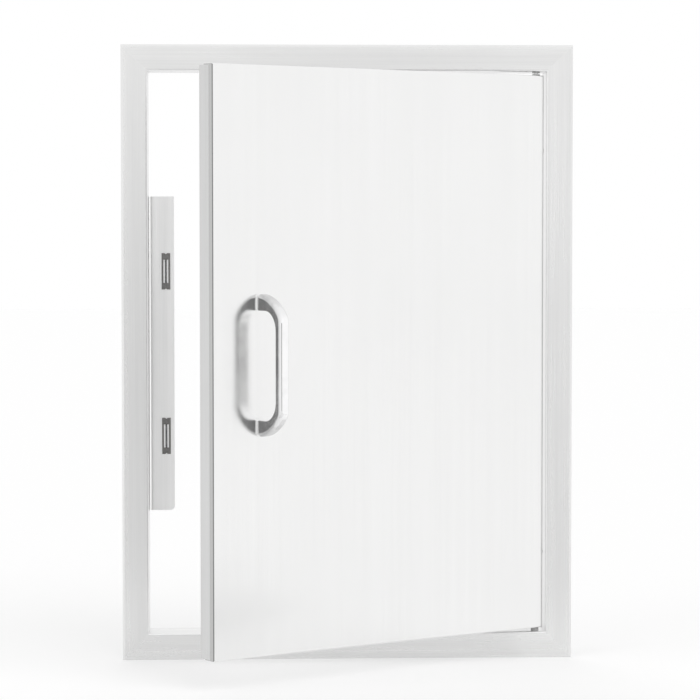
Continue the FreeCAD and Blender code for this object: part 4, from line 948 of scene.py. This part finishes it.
def reflected_card(name, width, height, place, normal, level):
    """A grey sheet that shows only where metal mirrors it."""
    card = plane(name, width, height, place, normal)
    material, shader = new_material(name.replace("_", " ").capitalize())
    shader.inputs["Base Color"].default_value = (0.0, 0.0, 0.0, 1.0)
    shader.inputs["Roughness"].default_value = 1.0
    shader.inputs["Specular IOR Level"].default_value = 0.0
    shader.inputs["Emission Color"].default_value = (level, level, level, 1.0)
    shader.inputs["Emission Strength"].default_value = 1.0
    card.data.materials.append(material)
    card.visible_camera = False
    card.visible_diffuse = False
    card.visible_shadow = False


def studio_sun(name, side, strength):
    """A soft even lamp that shines from the given side, and that metal doesn't mirror."""
    data = bpy.data.lights.new(name, "SUN")
    data.energy = strength
    data.angle = SUN_SPREAD
    lamp = bpy.data.objects.new(name, data)
    bpy.context.scene.collection.objects.link(lamp)
    lamp.location = Vector(side) * SUN_DISTANCE
    lamp.rotation_euler = (-Vector(side)).to_track_quat("-Z", "Y").to_euler()
    lamp.visible_glossy = False
    lamp.visible_camera = False


def photo_camera(scene, lens):
    """The camera at the photo's place."""
    data = bpy.data.cameras.new("photo_camera")
    data.sensor_width = SENSOR_WIDTH
    data.lens = lens
    data.clip_start = NEAREST_SEEN
    data.clip_end = FARTHEST_SEEN
    camera = bpy.data.objects.new("photo_camera", data)
    scene.collection.objects.link(camera)
    camera.location = CAMERA_PLACE
    camera.rotation_euler = [math.radians(turn) for turn in CAMERA_TURNS]
    scene.camera = camera


class ACCESSDOOR_OT_stage(bpy.types.Operator):
    """Sets up the studio: white floor and background, soft lamps, cards and camera"""

    bl_idname = "accessdoor.stage"
    bl_label = "Studio"

    def execute(self, context):
        scene = context.scene
        studio = scene.door_studio
        floor_height = CAD_BOX[0].z
        white_background(scene)
        white_floor(studio, floor_height)
        card_place = (0.0, -GREY_CARD_DISTANCE, floor_height + studio.card_height / 2)
        reflected_card("grey_card", studio.card_width, studio.card_height, card_place, INTO_ISLAND,
                       GREY_CARD_LEVEL)
        for name, (width, depth, middle) in PALE_SHEETS.items():
            place = (*middle, floor_height + PALE_SHEET_LIFT)
            reflected_card(name, width, depth, place, UP, PALE_SHEET_LEVEL)
        for name, (side, strength) in SUNS.items():
            studio_sun(name, side, strength)
        photo_camera(scene, studio.lens)
        scene.view_settings.view_transform = "Standard"
        return {"FINISHED"}


OPERATORS = (
    ACCESSDOOR_OT_frame,
    ACCESSDOOR_OT_welds,
    ACCESSDOOR_OT_strike_bracket,
    ACCESSDOOR_OT_catches,
    ACCESSDOOR_OT_door_skins,
    ACCESSDOOR_OT_handle,
    ACCESSDOOR_OT_handle_fixings,
    ACCESSDOOR_OT_pivots,
    ACCESSDOOR_OT_knob,
    ACCESSDOOR_OT_strike_plates,
    ACCESSDOOR_OT_stage,
)


class ACCESSDOOR_PT_panel(bpy.types.Panel):
    """Lists the door's pieces and the studio, with their colours and sizes"""

    bl_idname = "ACCESSDOOR_PT_panel"
    bl_label = "Access door"
    bl_space_type = "VIEW_3D"
    bl_region_type = "UI"
    bl_category = "Access door"

    def draw(self, context):
        layout = self.layout
        for operator in OPERATORS:
            layout.operator(operator.bl_idname)
        for group in (context.scene.door_finishes, context.scene.door_studio):
            for name in group.bl_rna.properties.keys():
                if name not in ("rna_type", "name"):
                    layout.prop(group, name)


CLASSES = (FinishColours, StudioSizes, *OPERATORS, ACCESSDOOR_PT_panel)


def register():
    for item in CLASSES:
        bpy.utils.register_class(item)
    bpy.types.Scene.door_finishes = bpy.props.PointerProperty(type=FinishColours)
    bpy.types.Scene.door_studio = bpy.props.PointerProperty(type=StudioSizes)


def unregister():
    del bpy.types.Scene.door_studio
    del bpy.types.Scene.door_finishes
    for item in reversed(CLASSES):
        bpy.utils.unregister_class(item)


def main():
    register()
    for operator in OPERATORS:
        group, name = operator.bl_idname.split(".")
        getattr(getattr(bpy.ops, group), name)()


if __name__ == "__main__":
    main()
